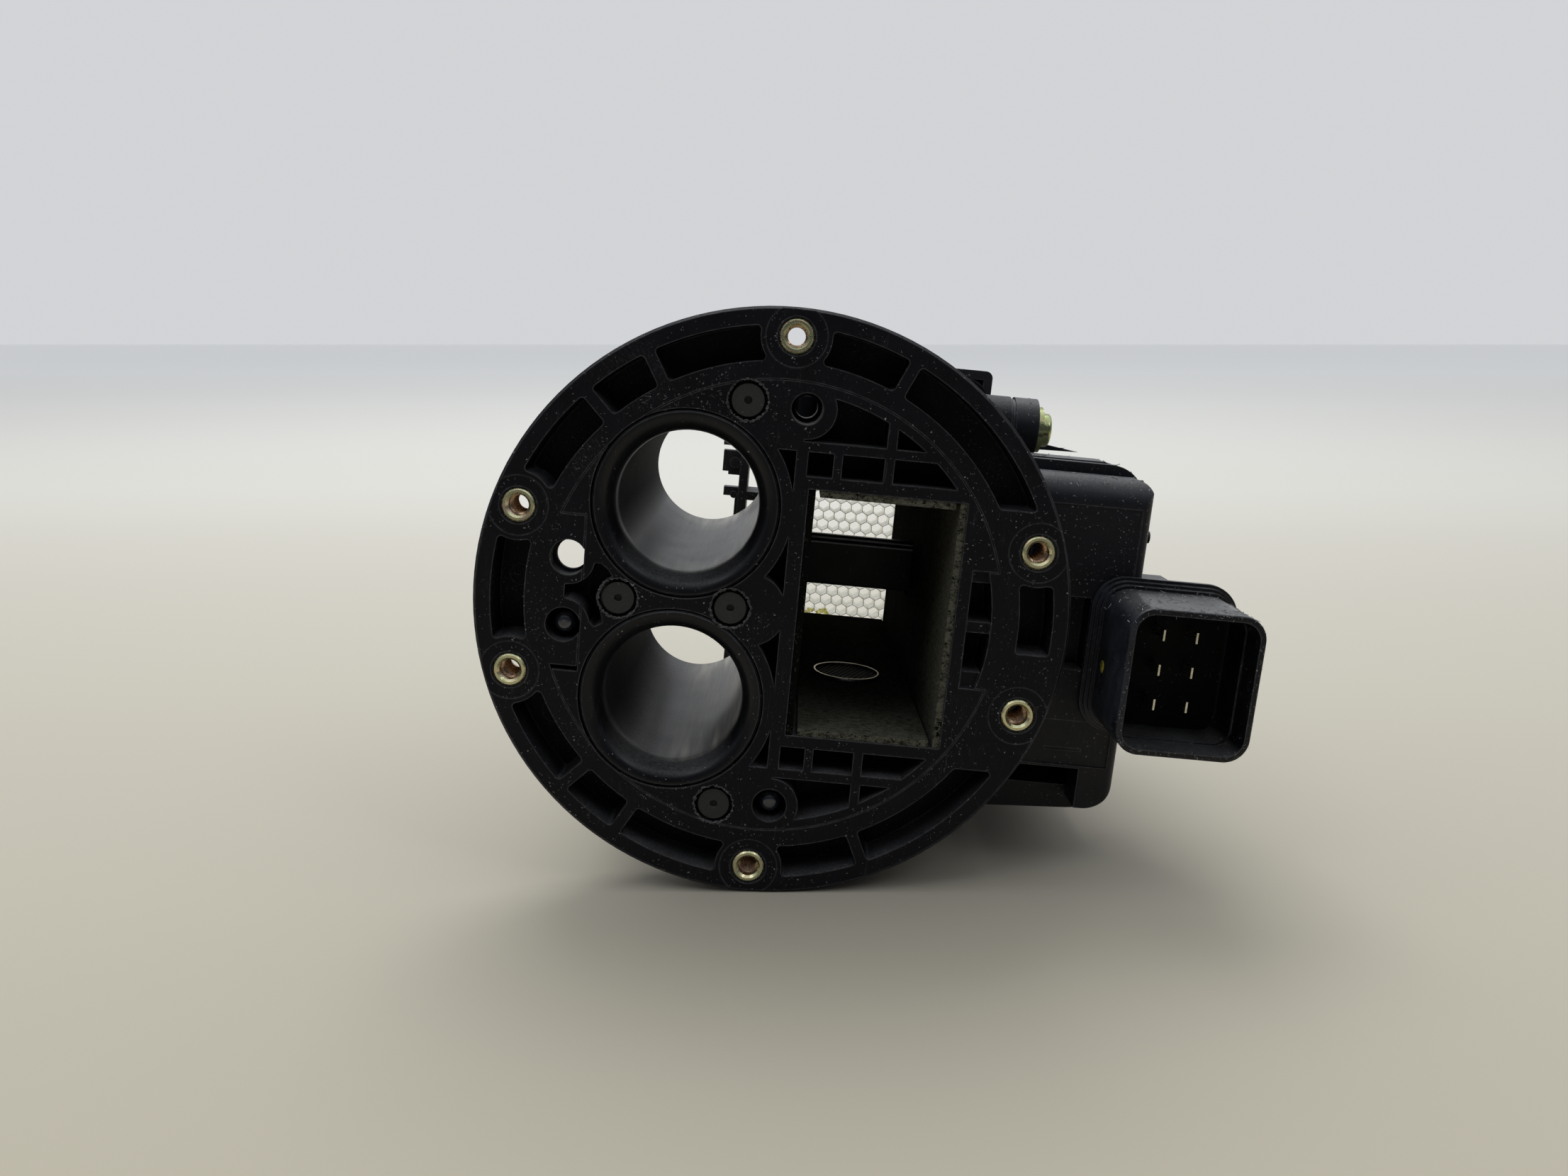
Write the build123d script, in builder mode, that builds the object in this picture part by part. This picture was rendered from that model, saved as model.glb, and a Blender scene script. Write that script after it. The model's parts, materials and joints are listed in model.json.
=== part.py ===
"""Vortex type mass airflow sensor with a round outlet flange, two bypass tubes and a lined sensing duct.

Frame: origin in the middle of the outlet flange's mating face, +Y along the duct towards the inlet,
+X towards the electronics module, +Z up. Lengths are in millimetres.
"""
from build123d import *
import math
import os

# ---------------------------------------------------------------- outlet flange ring
flange_radius = 60.0
flange_thickness = 12.0
outer_edge_chamfer = 0.5
rim_wall = 3.55                  # outside the rim pockets
rim_pocket_width = 6.7
rim_pocket_depth = 9.0
rim_rib_width = 2.4
rim_rib_angles = (65.4, 120.0, 134.6, 225.4, 240.0, 294.6)
rim_pocket_corner = 0.8
ring_land = 3.55                 # inside the rim pockets
upper_pocket_end = 24.8          # height at which the long upper right rim pocket stops
lower_pocket_end = -29.2
side_pocket_bottom = -4.0        # rim pocket beside the duct
side_pocket_top = 10.2
insert_edge = 5.5                # rim to insert axis
insert_angles = (18, 90, 162, 198, 270, 342)
insert_boss_radius = 7.0
insert_pad_radius = 6.0          # shallow turned face round each insert
insert_pad_depth = 0.12
insert_seat_radius = 3.75
insert_seat_depth = 0.6
insert_radius = 3.5
insert_bore_radius = 2.1
insert_length = 11.0
insert_chamfer = 0.45

# ---------------------------------------------------------------- sensing duct
duct_left = 5.1
duct_right = 36.7
duct_half_height = 25.3
duct_draft = 1.8                 # how far each side wall leans in over the whole duct
duct_wall = 2.5
duct_left_wall = 3.1
body_length = 112.0
liner_thickness = 1.4
liner_front_setback = 0.3
liner_slot_clearance = 0.4
floor_liner_front_gap = 0.9      # the straight floor and roof liners leave a slit beside the leaning ones
floor_liner_side_gap = 0.25
bond_gap = 0.05

# ---------------------------------------------------------------- front plate of the measuring body
weld_gap = 0.15                  # joint line between ring and plate
shoulder_step = 2.5              # the ring sits on this step
shoulder_thickness = 2.5
left_key_x = -38.3               # ring tongue that keys the plate, left
left_key_top = 16.1
left_key_bottom = -14.8
left_key_slot = 1.05             # open slot under the left tongue
right_key_gap = 0.2              # duct wall to the right tongue
right_key_half_height = 12.0
key_recess_depth = 1.0
key_pocket_spans = ((1.7, 9.7), (-8.7, -0.6))
rib = 2.0
grid_pocket_depth = 10.0
grid_row_height = 4.8
grid_row_columns = ((2.4, 7.4), (9.2, 17.4), (19.4, 46.0))       # from the duct's left wall
grid_upper_columns = ((1.3, 17.5), (19.5, 46.0))
plate_rim = 2.1                  # left standing outside the grid
tube_ring_wall = 2.4             # left standing round each tube
waist_boss_x = -4.5
waist_boss_radius = 7.4
corner_boss_radius = 5.9         # round the open hole and the dowel at the top and bottom
left_boss_radius = 5.4           # round the open hole and the dowel in the left tongue
corner_pocket = ((-41.65, 1.8), (-41.65, -0.7), (-36.7, -5.0), (-35.3, -6.3), (-33.7, -5.3), (-34.2, -3.3),
                 (-34.7, -1.0), (-34.6, 1.3), (-33.8, 3.3), (-32.3, 4.3), (-33.3, 5.7), (-34.7, 6.7),
                 (-35.7, 6.7), (-37.4, 5.6))

# ---------------------------------------------------------------- bypass tubes
tube_bore_radius = 14.33
tube_wall = 2.0
tube_length = 85.8
tube_web = 2.24                  # between the two flare seats
tube_duct_rib = 1.95             # between a flare seat and the duct's wall
tube_end_chamfer = 0.5
flare_width = 3.57
flare_depth = 6.0
flare_lip = 0.66                 # flat rim outside the flare
flare_edge = 0.4
flare_rim_height = 8.0
flare_gap = 0.34
web_thickness = 3.0
web_edge_gap = 0.4
web_seat_gap = 0.1
post_radius = 3.2
post_hole_radius = 4.0
post_counterbore_depth = 3.0
post_clearance = 0.15
post_top = 0.35                  # how far the post heads lie below the mating face
post_dimple_radius = 0.8
post_dimple_depth = 0.8
post_places = ((-8.3, 41.5), (-30.9, 0.0), (-8.3, 0.0), (-8.3, -41.5))
dowel_radius = 2.2
dowel_hole_radius = 3.5
dowel_recess = 1.6
dowel_dome = 1.6
dowel_places = ((-41.6, -6.4), (3.2, -40.7))
open_hole_radius = 3.1
left_hole_radius = 3.6           # the left one is stepped, and hollow behind its lip
left_hole_depth = 4.7
left_hole_lip = 1.0
left_hollow_radius = 4.6
left_hollow_shift = (-1.7, -1.4)
open_hole_places = ((-41.3, 7.35), (3.3, 40.8))
pilot_hole_radius = 2.3

# ---------------------------------------------------------------- vortex column across the duct
column_tail_y = 67.0
column_steps = ((0.0, 5.28), (2.5, 6.0), (5.0, 6.5), (7.0, 6.5))   # depth behind the tail, half height
column_socket_depth = 1.2
column_clearance = 0.1
column_edge_round = 0.2

# ---------------------------------------------------------------- ultrasonic transducers in roof and floor
transducer_x = 19.6
transducer_y = 50.0
can_radius = 8.2
can_height = 11.0
can_rim = 0.6
can_lip_depth = 0.8
can_edge_round = 0.3
can_proud = 0.6                  # how far the can stands above the liner
can_hole_clearance = 0.3
can_pin_offset = 2.5
can_pin_radius = 0.5
can_pin_length = 3.0
mesh_thickness = 0.3
mesh_clearance = 0.05
grommet_width = 2.8
grommet_height = 5.0
grommet_clearance = 0.1
chamber_wall = 2.4
chamber_height = 14.0
chamber_clearance = 0.15
cap_thickness = 2.4
cap_plug_depth = 3.0
cap_plug_wall = 1.8
cap_lug_radius = 3.6
cap_lug_reach = 2.5              # lug axis outside the chamber's wall
cap_screw_radius = 1.3
cap_screw_depth = 9.0
cap_screw_clearance = 0.1
cap_screw_length = 8.0
cap_screw_head_radius = 2.5
cap_screw_head_height = 1.8

# ---------------------------------------------------------------- inlet frame and honeycomb
frame_side_left = 17.5           # duct to the frame's outside
frame_side_right = 19.7
frame_half_height = 51.0
frame_corner = 2.0
frame_depth = 14.0
frame_wall = 2.5
frame_back = 4.0
frame_rib = 2.4
frame_rib_x = (6.0, 36.0)
frame_rib_z = (-9.7, 9.7)
frame_window_half_height = 30.0  # the left side is open right through between its ribs
frame_screw_inset_x = 8.4
frame_screw_inset_z = 8.0
frame_boss_radius = 6.0
frame_thread_radius = 1.65
frame_thread_depth = 10.0
frame_screw_radius = 1.55
frame_screw_clearance = 0.15
frame_screw_head_radius = 3.0
frame_screw_head_height = 2.2
frame_screw_length = 20.0
frame_counterbore_depth = 3.0
rear_flange_thickness = 3.0
rear_flange_corner = 5.0
rear_boss_length = 13.0
rear_boss_radius = 5.5
seal_width = 2.0
seal_offset = 2.2
seal_depth = 1.2
seal_slack = 0.1
honeycomb_seat = 5.5             # frame's front to the honeycomb
honeycomb_depth = 8.0
honeycomb_margin = 1.5
honeycomb_clearance = 0.1
honeycomb_border = 0.35
cell_pitch = 3.2                 # 1/8 inch foil honeycomb, across the flats
cell_wall = 0.12
cell_turn = 30                   # flats upright, corners up and down
ear_setback = 4.0
ear_depth = 4.0
ear_overlap = 0.4
ear_boss_height = 0.8
ear_blocks = ((5.3, 23.4, 27.0), (5.1, 15.9, 21.9), (3.4, 15.0, 16.2), (4.3, 8.9, 11.4),
              (0.9, 1.0, 9.2))   # reach, lower and upper height
ear_bosses = ((1.6, 18.6, 1.5), (1.3, 9.3, 1.0))                             # reach, height, radius

# ---------------------------------------------------------------- side plate that carries the module
side_gap = 8.3                   # between the duct's wall and the side plate
side_plate_thickness = 2.5
side_plate_top = 30.0
side_plate_bottom = -40.0
side_web_thickness = 2.4
side_boss_height = 2.9
side_boss_radius = 7.2
upper_boss_length = 7.5
joint_groove = 0.5               # step round the meeting faces of boss and screw ear
wire_port_y = 52.0
wire_port_z = 4.0
wire_port_radius = 6.0
port_flange = 2.5
port_bore_radius = 3.6
upper_screw_place = (58.0, 38.5)                                             # Y, Z
rear_screw_heights = (10.0, -33.0)
rear_screw_distance = 6.0        # behind the case
screw_bore_depth = 10.5

# ---------------------------------------------------------------- electronics module
cover_gap = 3.5                  # plate shoulder to the cover
cover_depth = 9.0
cover_reach = 18.7               # flange rim to the cover's right side
cover_top = 31.5
cover_bottom = -32.6
cover_foot_width = 8.2
cover_foot_bottom = -41.6
cover_top_round = 5.8
cover_side_round = 2.0
cover_corner = 3.6
cover_foot_corner = 6.5
cover_wall = 2.2
panel_left_margin = 1.1          # sunk flat panel of the cover
panel_right_margin = 2.2
panel_bottom_margin = 0.6
panel_top = 25.4
panel_depth = 0.25
panel_step_z = -21.9
panel_step_depth = 0.5
panel_groove_z = -28.7
panel_groove_depth = 0.75
panel_groove_width = 0.5
panel_groove_length = 8.1
slot_distance = 10.1             # deep slot beside the ring, from the module's left face
slot_width = 5.2
slot_bottom = -10.4
slot_top = 5.6
slot_depth = 6.0
nub_z = 19.3
nub_radius = 1.3
nub_height = 1.0
gasket_thickness = 1.0
gasket_inset = 0.5
case_flange_margin = 0.5         # case flange past the cover's side
case_flange_rise = 2.2           # case flange above the cover
case_flange_bottom_left = -46.3
case_flange_bottom_right = -44.8
case_flange_depth = 3.0
case_corner = 8.0
case_inset = 2.6
case_depth = 63.0
case_wall = 2.4
case_rear_drop = 1.2             # the case behind its flange is this much lower
step_rise = 0.3                  # raised strip behind the case flange
step_inset = 5.2
step_depth = 9.0
step_corner = 3.5
ear_length = 6.0
ear_radius = 7.2
ear_hole_radius = 2.3
ear_neck_step = 0.4
ear_neck_half_width = 5.0
ear_fin_y = 64.6
ear_fin_thickness = 2.0
ear_fin_length = 13.1
ear_fin_top = 35.4
ear_fin_bottom = 33.2
ear_fin_tip_z = 33.6
screw_radius = 1.95
screw_head_radius = 4.0
screw_head_height = 2.3
screw_head_round = 0.9
screw_reach = 9.0                # thread engaged in the body
screw_hole_radius = 2.05
drive_slot_width = 1.1
drive_slot_depth = 1.2
drive_length = 4.6
washer_radius = 5.45
washer_thickness = 1.5
washer_hole_radius = 2.2

# ---------------------------------------------------------------- connector
connector_reach = 5.1            # cover's right side to the connector's axis
connector_z = -6.0
connector_width = 27.0
connector_height = 30.0
connector_corner = 5.0
connector_mouth_y = -6.0
connector_wall = 1.25
connector_lip_round = 0.45
connector_ledge_depth = 7.5
connector_ledge = 0.3
connector_floor_depth = 17.0
base_thickness = 3.6
base_steps = 3
base_step_growth = 0.7
root_inset = 1.0
root_clearance = 0.2
terminal_columns = (-3.4, 3.4)
terminal_rows = (-6.95, 0.4, 7.75)
terminal_height = 2.3
terminal_thickness = 0.64
terminal_tip_depth = 10.2
terminal_tail = 1.2
terminal_hole_clearance = 0.3
outer_bend_depth = 9.5
inner_bend_depth = 6.0
wing_depth = 16.0
wing_reach = 6.5                 # connector's axis to the wing's outside
wing_wall = 2.0

# ---------------------------------------------------------------- circuit board
board_distance = 6.1             # module's left face to the board
board_thickness = 1.6
board_front_gap = 5.0
board_end_gap = 1.6
board_bottom_gap = 1.8
board_top_gap = 3.5
board_edge = 5.0
board_boss_radius = 3.5
board_hole_clearance = 0.2
board_screw_radius = 1.25
board_screw_clearance = 0.1
board_screw_tip_gap = 0.3
board_screw_head_radius = 2.4
board_screw_head_height = 1.6
shield_size = (26.0, 30.0)       # along Y and Z
shield_centre = (72.0, -14.0)
shield_height = 6.0
shield_wall = 0.5
pressure_cell_centre = (74.0, 12.0)
pressure_cell_radius = 6.0
pressure_cell_height = 5.0
pressure_nipple_radius = 1.6
pressure_nipple_height = 3.0

# ---------------------------------------------------------------- air temperature sensor
probe_distance = 9.3             # right of the duct
probe_z = 0.0
probe_radius = 2.6
probe_clearance = 0.1
probe_head_radius = 4.4
probe_head_height = 2.0
probe_tail = 4.0
probe_length = 5.0
probe_tip_radius = 1.7
probe_tip_length = 1.6

# ---------------------------------------------------------------- places that follow from the sizes
rim_pocket_outer_radius = flange_radius - rim_wall
rim_pocket_inner_radius = rim_pocket_outer_radius - rim_pocket_width
insert_circle_radius = flange_radius - insert_edge
left_hollow_start = left_hole_depth + left_hole_lip
left_hollow_place = tuple(place + shift for place, shift in zip(open_hole_places[0], left_hollow_shift))
plate_radius = rim_pocket_inner_radius - ring_land
shoulder_radius = plate_radius + shoulder_step
grid_edge_radius = plate_radius - plate_rim
plate_back = flange_thickness
shoulder_back = plate_back + shoulder_thickness
duct_outer_height = duct_half_height + duct_wall
grid_left = duct_left - duct_left_wall
right_key_x = duct_right + duct_wall + right_key_gap
flare_flat_radius = tube_bore_radius + flare_width
flare_radius = flare_flat_radius + flare_lip
flare_seat_radius = flare_radius + flare_gap
tube_outer_radius = tube_bore_radius + tube_wall
flare_taper_end = flare_rim_height + flare_radius - tube_outer_radius
tube_ring_radius = flare_seat_radius + tube_ring_wall
tube_x = grid_left - tube_duct_rib - flare_seat_radius
tube_z = flare_seat_radius + tube_web / 2
tube_places = ((tube_x, tube_z), (tube_x, -tube_z))
web_front = shoulder_back + web_seat_gap
grid_row_top = duct_outer_height + grid_row_height
grid_upper_row = grid_row_top + rib
column_middle_y = column_tail_y + column_steps[-1][0] / 2
column_half_depth = column_steps[-1][0] / 2
column_half_height = column_steps[-1][1]
grommet_radius = can_radius + grommet_width
chamber_bore_radius = grommet_radius + chamber_clearance
chamber_radius = chamber_bore_radius + chamber_wall
chamber_end = duct_outer_height + chamber_height
cap_lug_distance = chamber_radius + cap_lug_reach
cap_screw_places = [(transducer_x + side * cap_lug_distance, transducer_y) for side in (-1, 1)]
can_pin_places = [(transducer_x + side * can_pin_offset, transducer_y) for side in (-1, 1)]
frame_start = body_length
frame_end = frame_start + frame_depth
frame_left = duct_left - frame_side_left
frame_right = duct_right + frame_side_right
frame_screw_x = (frame_left + frame_screw_inset_x, frame_right - frame_screw_inset_x)
frame_screw_z = (frame_screw_inset_z - frame_half_height, frame_half_height - frame_screw_inset_z)
frame_screw_places = [(x, z) for x in frame_screw_x for z in frame_screw_z]
frame_middle = ((frame_left + frame_right) / 2, 0)
honeycomb_start = frame_start + honeycomb_seat
honeycomb_left = duct_left + duct_draft - honeycomb_margin
honeycomb_right = duct_right - duct_draft + honeycomb_margin
honeycomb_half_height = duct_half_height + honeycomb_margin
liner_length = honeycomb_start - liner_front_setback
ear_start = frame_start + ear_setback
probe_x = duct_right + probe_distance
seal_inside = seal_offset - seal_width
side_plate_left = duct_right + duct_wall + side_gap
side_plate_right = side_plate_left + side_plate_thickness
side_boss_face = side_plate_right + side_boss_height
module_left = side_boss_face
cover_front = shoulder_back + cover_gap
cover_back = cover_front + cover_depth
cover_right = flange_radius + cover_reach
cover_foot_left = cover_right - cover_foot_width
slot_left = module_left + slot_distance
slot_right = slot_left + slot_width
case_start = cover_back + gasket_thickness
case_body_start = case_start + case_flange_depth
case_end = case_body_start + case_depth
case_flange_right = cover_right + case_flange_margin
case_flange_top = cover_top + case_flange_rise
case_right = case_flange_right - case_inset
case_top = case_flange_top - case_inset - case_rear_drop
case_bottom = case_flange_bottom_right + case_inset
cavity_left = module_left + case_wall
step_right = cover_right - step_inset
step_top = case_flange_top + step_rise
ear_face = module_left + ear_length
module_screw_places = [upper_screw_place] + [(case_end + rear_screw_distance, z) for z in rear_screw_heights]
connector_x = cover_right + connector_reach
connector_base_front = cover_front - base_thickness
root_half_width = connector_width / 2 - root_inset
root_half_height = connector_height / 2 - root_inset
root_right = connector_x + root_half_width
root_hole_left = connector_x - root_half_width - root_clearance
root_hole_bottom = connector_z - root_half_height - root_clearance
root_hole_top = connector_z + root_half_height + root_clearance
wing_right = connector_x + wing_reach
wing_bottom = connector_z - root_half_height
wing_top = connector_z + root_half_height
terminal_places = [(connector_x + dx, connector_z + dz) for dx in terminal_columns for dz in terminal_rows]
board_x = module_left + board_distance
board_back_x = board_x + board_thickness
board_start_y = case_start + board_front_gap
board_end_y = case_end - case_wall - board_end_gap
board_bottom = case_bottom + case_wall + board_bottom_gap
board_top = case_top - case_wall - board_top_gap
board_screw_places = [(y, z) for y in (board_start_y + board_edge, board_end_y - board_edge)
                      for z in (board_bottom + board_edge, board_top - board_edge)]

pick = 0.5                       # edges this close to a named place count as being there

os.makedirs("parts", exist_ok=True)


def station(y):
    """Sketch plane across the duct: local x is +X, local y is +Z, and a negative extrusion goes deeper."""
    return Plane(origin=(0, y, 0), x_dir=(1, 0, 0), z_dir=(0, -1, 0))


def side_view(x):
    """Sketch plane seen from the module's side: local x is +Y, local y is +Z, extrusion goes to +X."""
    return Plane(origin=(x, 0, 0), x_dir=(0, 1, 0), z_dir=(1, 0, 0))


def on_circle(radius, angle):
    """Place on a circle round the flange's axis, in a station sketch."""
    return (radius * math.cos(math.radians(angle)), radius * math.sin(math.radians(angle)))


def duct_lean(y):
    """How far a side wall of the duct has leaned in at depth y."""
    return duct_draft * y / honeycomb_start


def span_rectangle(x0, x1, z0, z1, mode=Mode.ADD):
    """Rectangle between two x and two z values of the current sketch."""
    with Locations(((x0 + x1) / 2, (z0 + z1) / 2)):
        Rectangle(x1 - x0, z1 - z0, mode=mode)


def finish(builder, name):
    """Name a finished piece and write it out."""
    builder.part.label = name
    export_step(builder.part, f"parts/{name}.step")


def corner_pocket_outline():
    """Irregular pocket between the bosses of the open hole and the dowel, and the left post."""
    Polygon(*corner_pocket, align=None)
    with Locations(open_hole_places[0], dowel_places[0]):
        Circle(left_boss_radius, mode=Mode.SUBTRACT)


def duct_section(y, left_wall=0.0, right_wall=0.0, height_wall=0.0, mode=Mode.ADD):
    """Rectangle of the duct at depth y, grown by the walls given."""
    span_rectangle(duct_left + duct_lean(y) - left_wall, duct_right - duct_lean(y) + right_wall,
                   -duct_half_height - height_wall, duct_half_height + height_wall, mode=mode)


def column_outline(clearance=0.0):
    """Stepped section of the vortex column: flat tail, wider upstream base."""
    upper = []
    height = None
    for depth, half_height in column_steps:
        if height is not None:
            upper.append((column_tail_y + depth, height))
        height = half_height
        upper.append((column_tail_y + depth, half_height))
    lower = [(y, -z) for y, z in reversed(upper)]
    Polygon(*upper, *lower, align=None)
    if clearance:
        offset(amount=clearance, kind=Kind.INTERSECTION)


def grid_pocket_sections(side):
    """Pocket outlines of the rib grid on one side of the duct: side is 1 above it and -1 below."""
    sections = []
    for x0, x1 in grid_row_columns:
        sections.append((grid_left + x0, grid_left + x1, duct_outer_height, grid_row_top))
    for x0, x1 in grid_upper_columns:
        sections.append((grid_left + x0, grid_left + x1, grid_upper_row, grid_edge_radius))
    sections.append((tube_x, grid_left, 0.0, tube_z))
    sections.append((tube_x, grid_left, tube_z, grid_row_top))
    return [(x0, x1, min(side * z0, side * z1), max(side * z0, side * z1)) for x0, x1, z0, z1 in sections]


def drilled(places, radius, depth, start=0.0):
    """Bores of one depth, started at a station."""
    with BuildSketch(station(start)) as profile:
        with Locations(*places):
            Circle(radius)
    extrude(profile.sketch, amount=-depth, mode=Mode.SUBTRACT)


def side_cylinder(x0, x1, y, z, radius, mode=Mode.ADD):
    """Round bar or bore along X at one place of the side view."""
    with BuildSketch(side_view(x0)) as profile:
        with Locations((y, z)):
            Circle(radius)
    extrude(profile.sketch, amount=x1 - x0, mode=mode)


def lengthwise_edges(builder, x, z):
    """The straight edges along Y that pass through one place of the station sketch."""
    edges = builder.part.edges().filter_by(Axis.Y)
    return edges.filter_by_position(Axis.X, x - pick, x + pick).filter_by_position(Axis.Z, z - pick, z + pick)


def block(x0, x1, y0, y1, z0, z1, mode=Mode.ADD):
    """Straight block between two stations."""
    with BuildSketch(station(y0)) as profile:
        span_rectangle(x0, x1, z0, z1)
    extrude(profile.sketch, amount=y0 - y1, mode=mode)


insert_places = [on_circle(insert_circle_radius, angle) for angle in insert_angles]

# ================================================================ outlet flange ring
with BuildPart() as outlet_flange:
    with BuildSketch(station(0)):
        Circle(flange_radius)
    extrude(amount=-flange_thickness)
    chamfer(outlet_flange.edges().group_by(Axis.Y)[0], outer_edge_chamfer)
    # opening for the front plate, with a tongue left standing on each side
    with BuildSketch(station(0)):
        Circle(plate_radius)
        span_rectangle(-flange_radius, left_key_x, left_key_bottom, left_key_top, mode=Mode.SUBTRACT)
        span_rectangle(right_key_x, flange_radius, -right_key_half_height, right_key_half_height,
                       mode=Mode.SUBTRACT)
    extrude(amount=-flange_thickness, mode=Mode.SUBTRACT)
    drilled(tube_places, flare_seat_radius, flange_thickness)
    # weight-saving pockets round the rim, between the insert bosses and the radial ribs
    with BuildSketch(station(0)):
        Circle(rim_pocket_outer_radius)
        Circle(rim_pocket_inner_radius, mode=Mode.SUBTRACT)
        with Locations(*insert_places):
            Circle(insert_boss_radius, mode=Mode.SUBTRACT)
        for angle in rim_rib_angles:
            with Locations(Location((*on_circle(insert_circle_radius, angle), 0), (0, 0, angle))):
                Rectangle(2 * insert_boss_radius, rim_rib_width, mode=Mode.SUBTRACT)
        span_rectangle(right_key_x, flange_radius, side_pocket_top, upper_pocket_end, mode=Mode.SUBTRACT)
        span_rectangle(right_key_x, flange_radius, lower_pocket_end, side_pocket_bottom, mode=Mode.SUBTRACT)
        # shrinking and growing back leaves every corner round
        offset(amount=-rim_pocket_corner)
        offset(amount=rim_pocket_corner)
    extrude(amount=-rim_pocket_depth, mode=Mode.SUBTRACT)
    # shallow recess and two pockets in the right tongue
    with BuildSketch(station(0)):
        Circle(grid_edge_radius)
        span_rectangle(right_key_x, flange_radius, -right_key_half_height, right_key_half_height,
                       mode=Mode.INTERSECT)
    extrude(amount=-key_recess_depth, mode=Mode.SUBTRACT)
    for low, high in key_pocket_spans:
        with BuildSketch(station(0)):
            Circle(grid_edge_radius)
            span_rectangle(right_key_x, flange_radius, low, high, mode=Mode.INTERSECT)
        extrude(amount=-grid_pocket_depth, mode=Mode.SUBTRACT)
    with BuildSketch(station(0)):
        corner_pocket_outline()
    extrude(amount=-grid_pocket_depth, mode=Mode.SUBTRACT)
    for radius, depth in ((insert_pad_radius, insert_pad_depth), (insert_seat_radius, insert_seat_depth),
                          (insert_radius, flange_thickness)):
        drilled(insert_places, radius, depth)
    # stepped hole, hollow behind its lip
    drilled(open_hole_places[:1], left_hole_radius, left_hole_depth)
    drilled(open_hole_places[:1], open_hole_radius, left_hollow_start)
    drilled([left_hollow_place], left_hollow_radius, flange_thickness - left_hollow_start, left_hollow_start)
    drilled(dowel_places[:1], dowel_hole_radius, flange_thickness)
finish(outlet_flange, "outlet_flange")

with BuildPart() as threaded_inserts:
    with BuildSketch(station(0)):
        with Locations(*insert_places):
            Circle(insert_radius)
            Circle(insert_bore_radius, mode=Mode.SUBTRACT)
    extrude(amount=-insert_length)
    chamfer(threaded_inserts.edges().group_by(Axis.Y)[0], insert_chamfer)
finish(threaded_inserts, "threaded_inserts")

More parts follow.
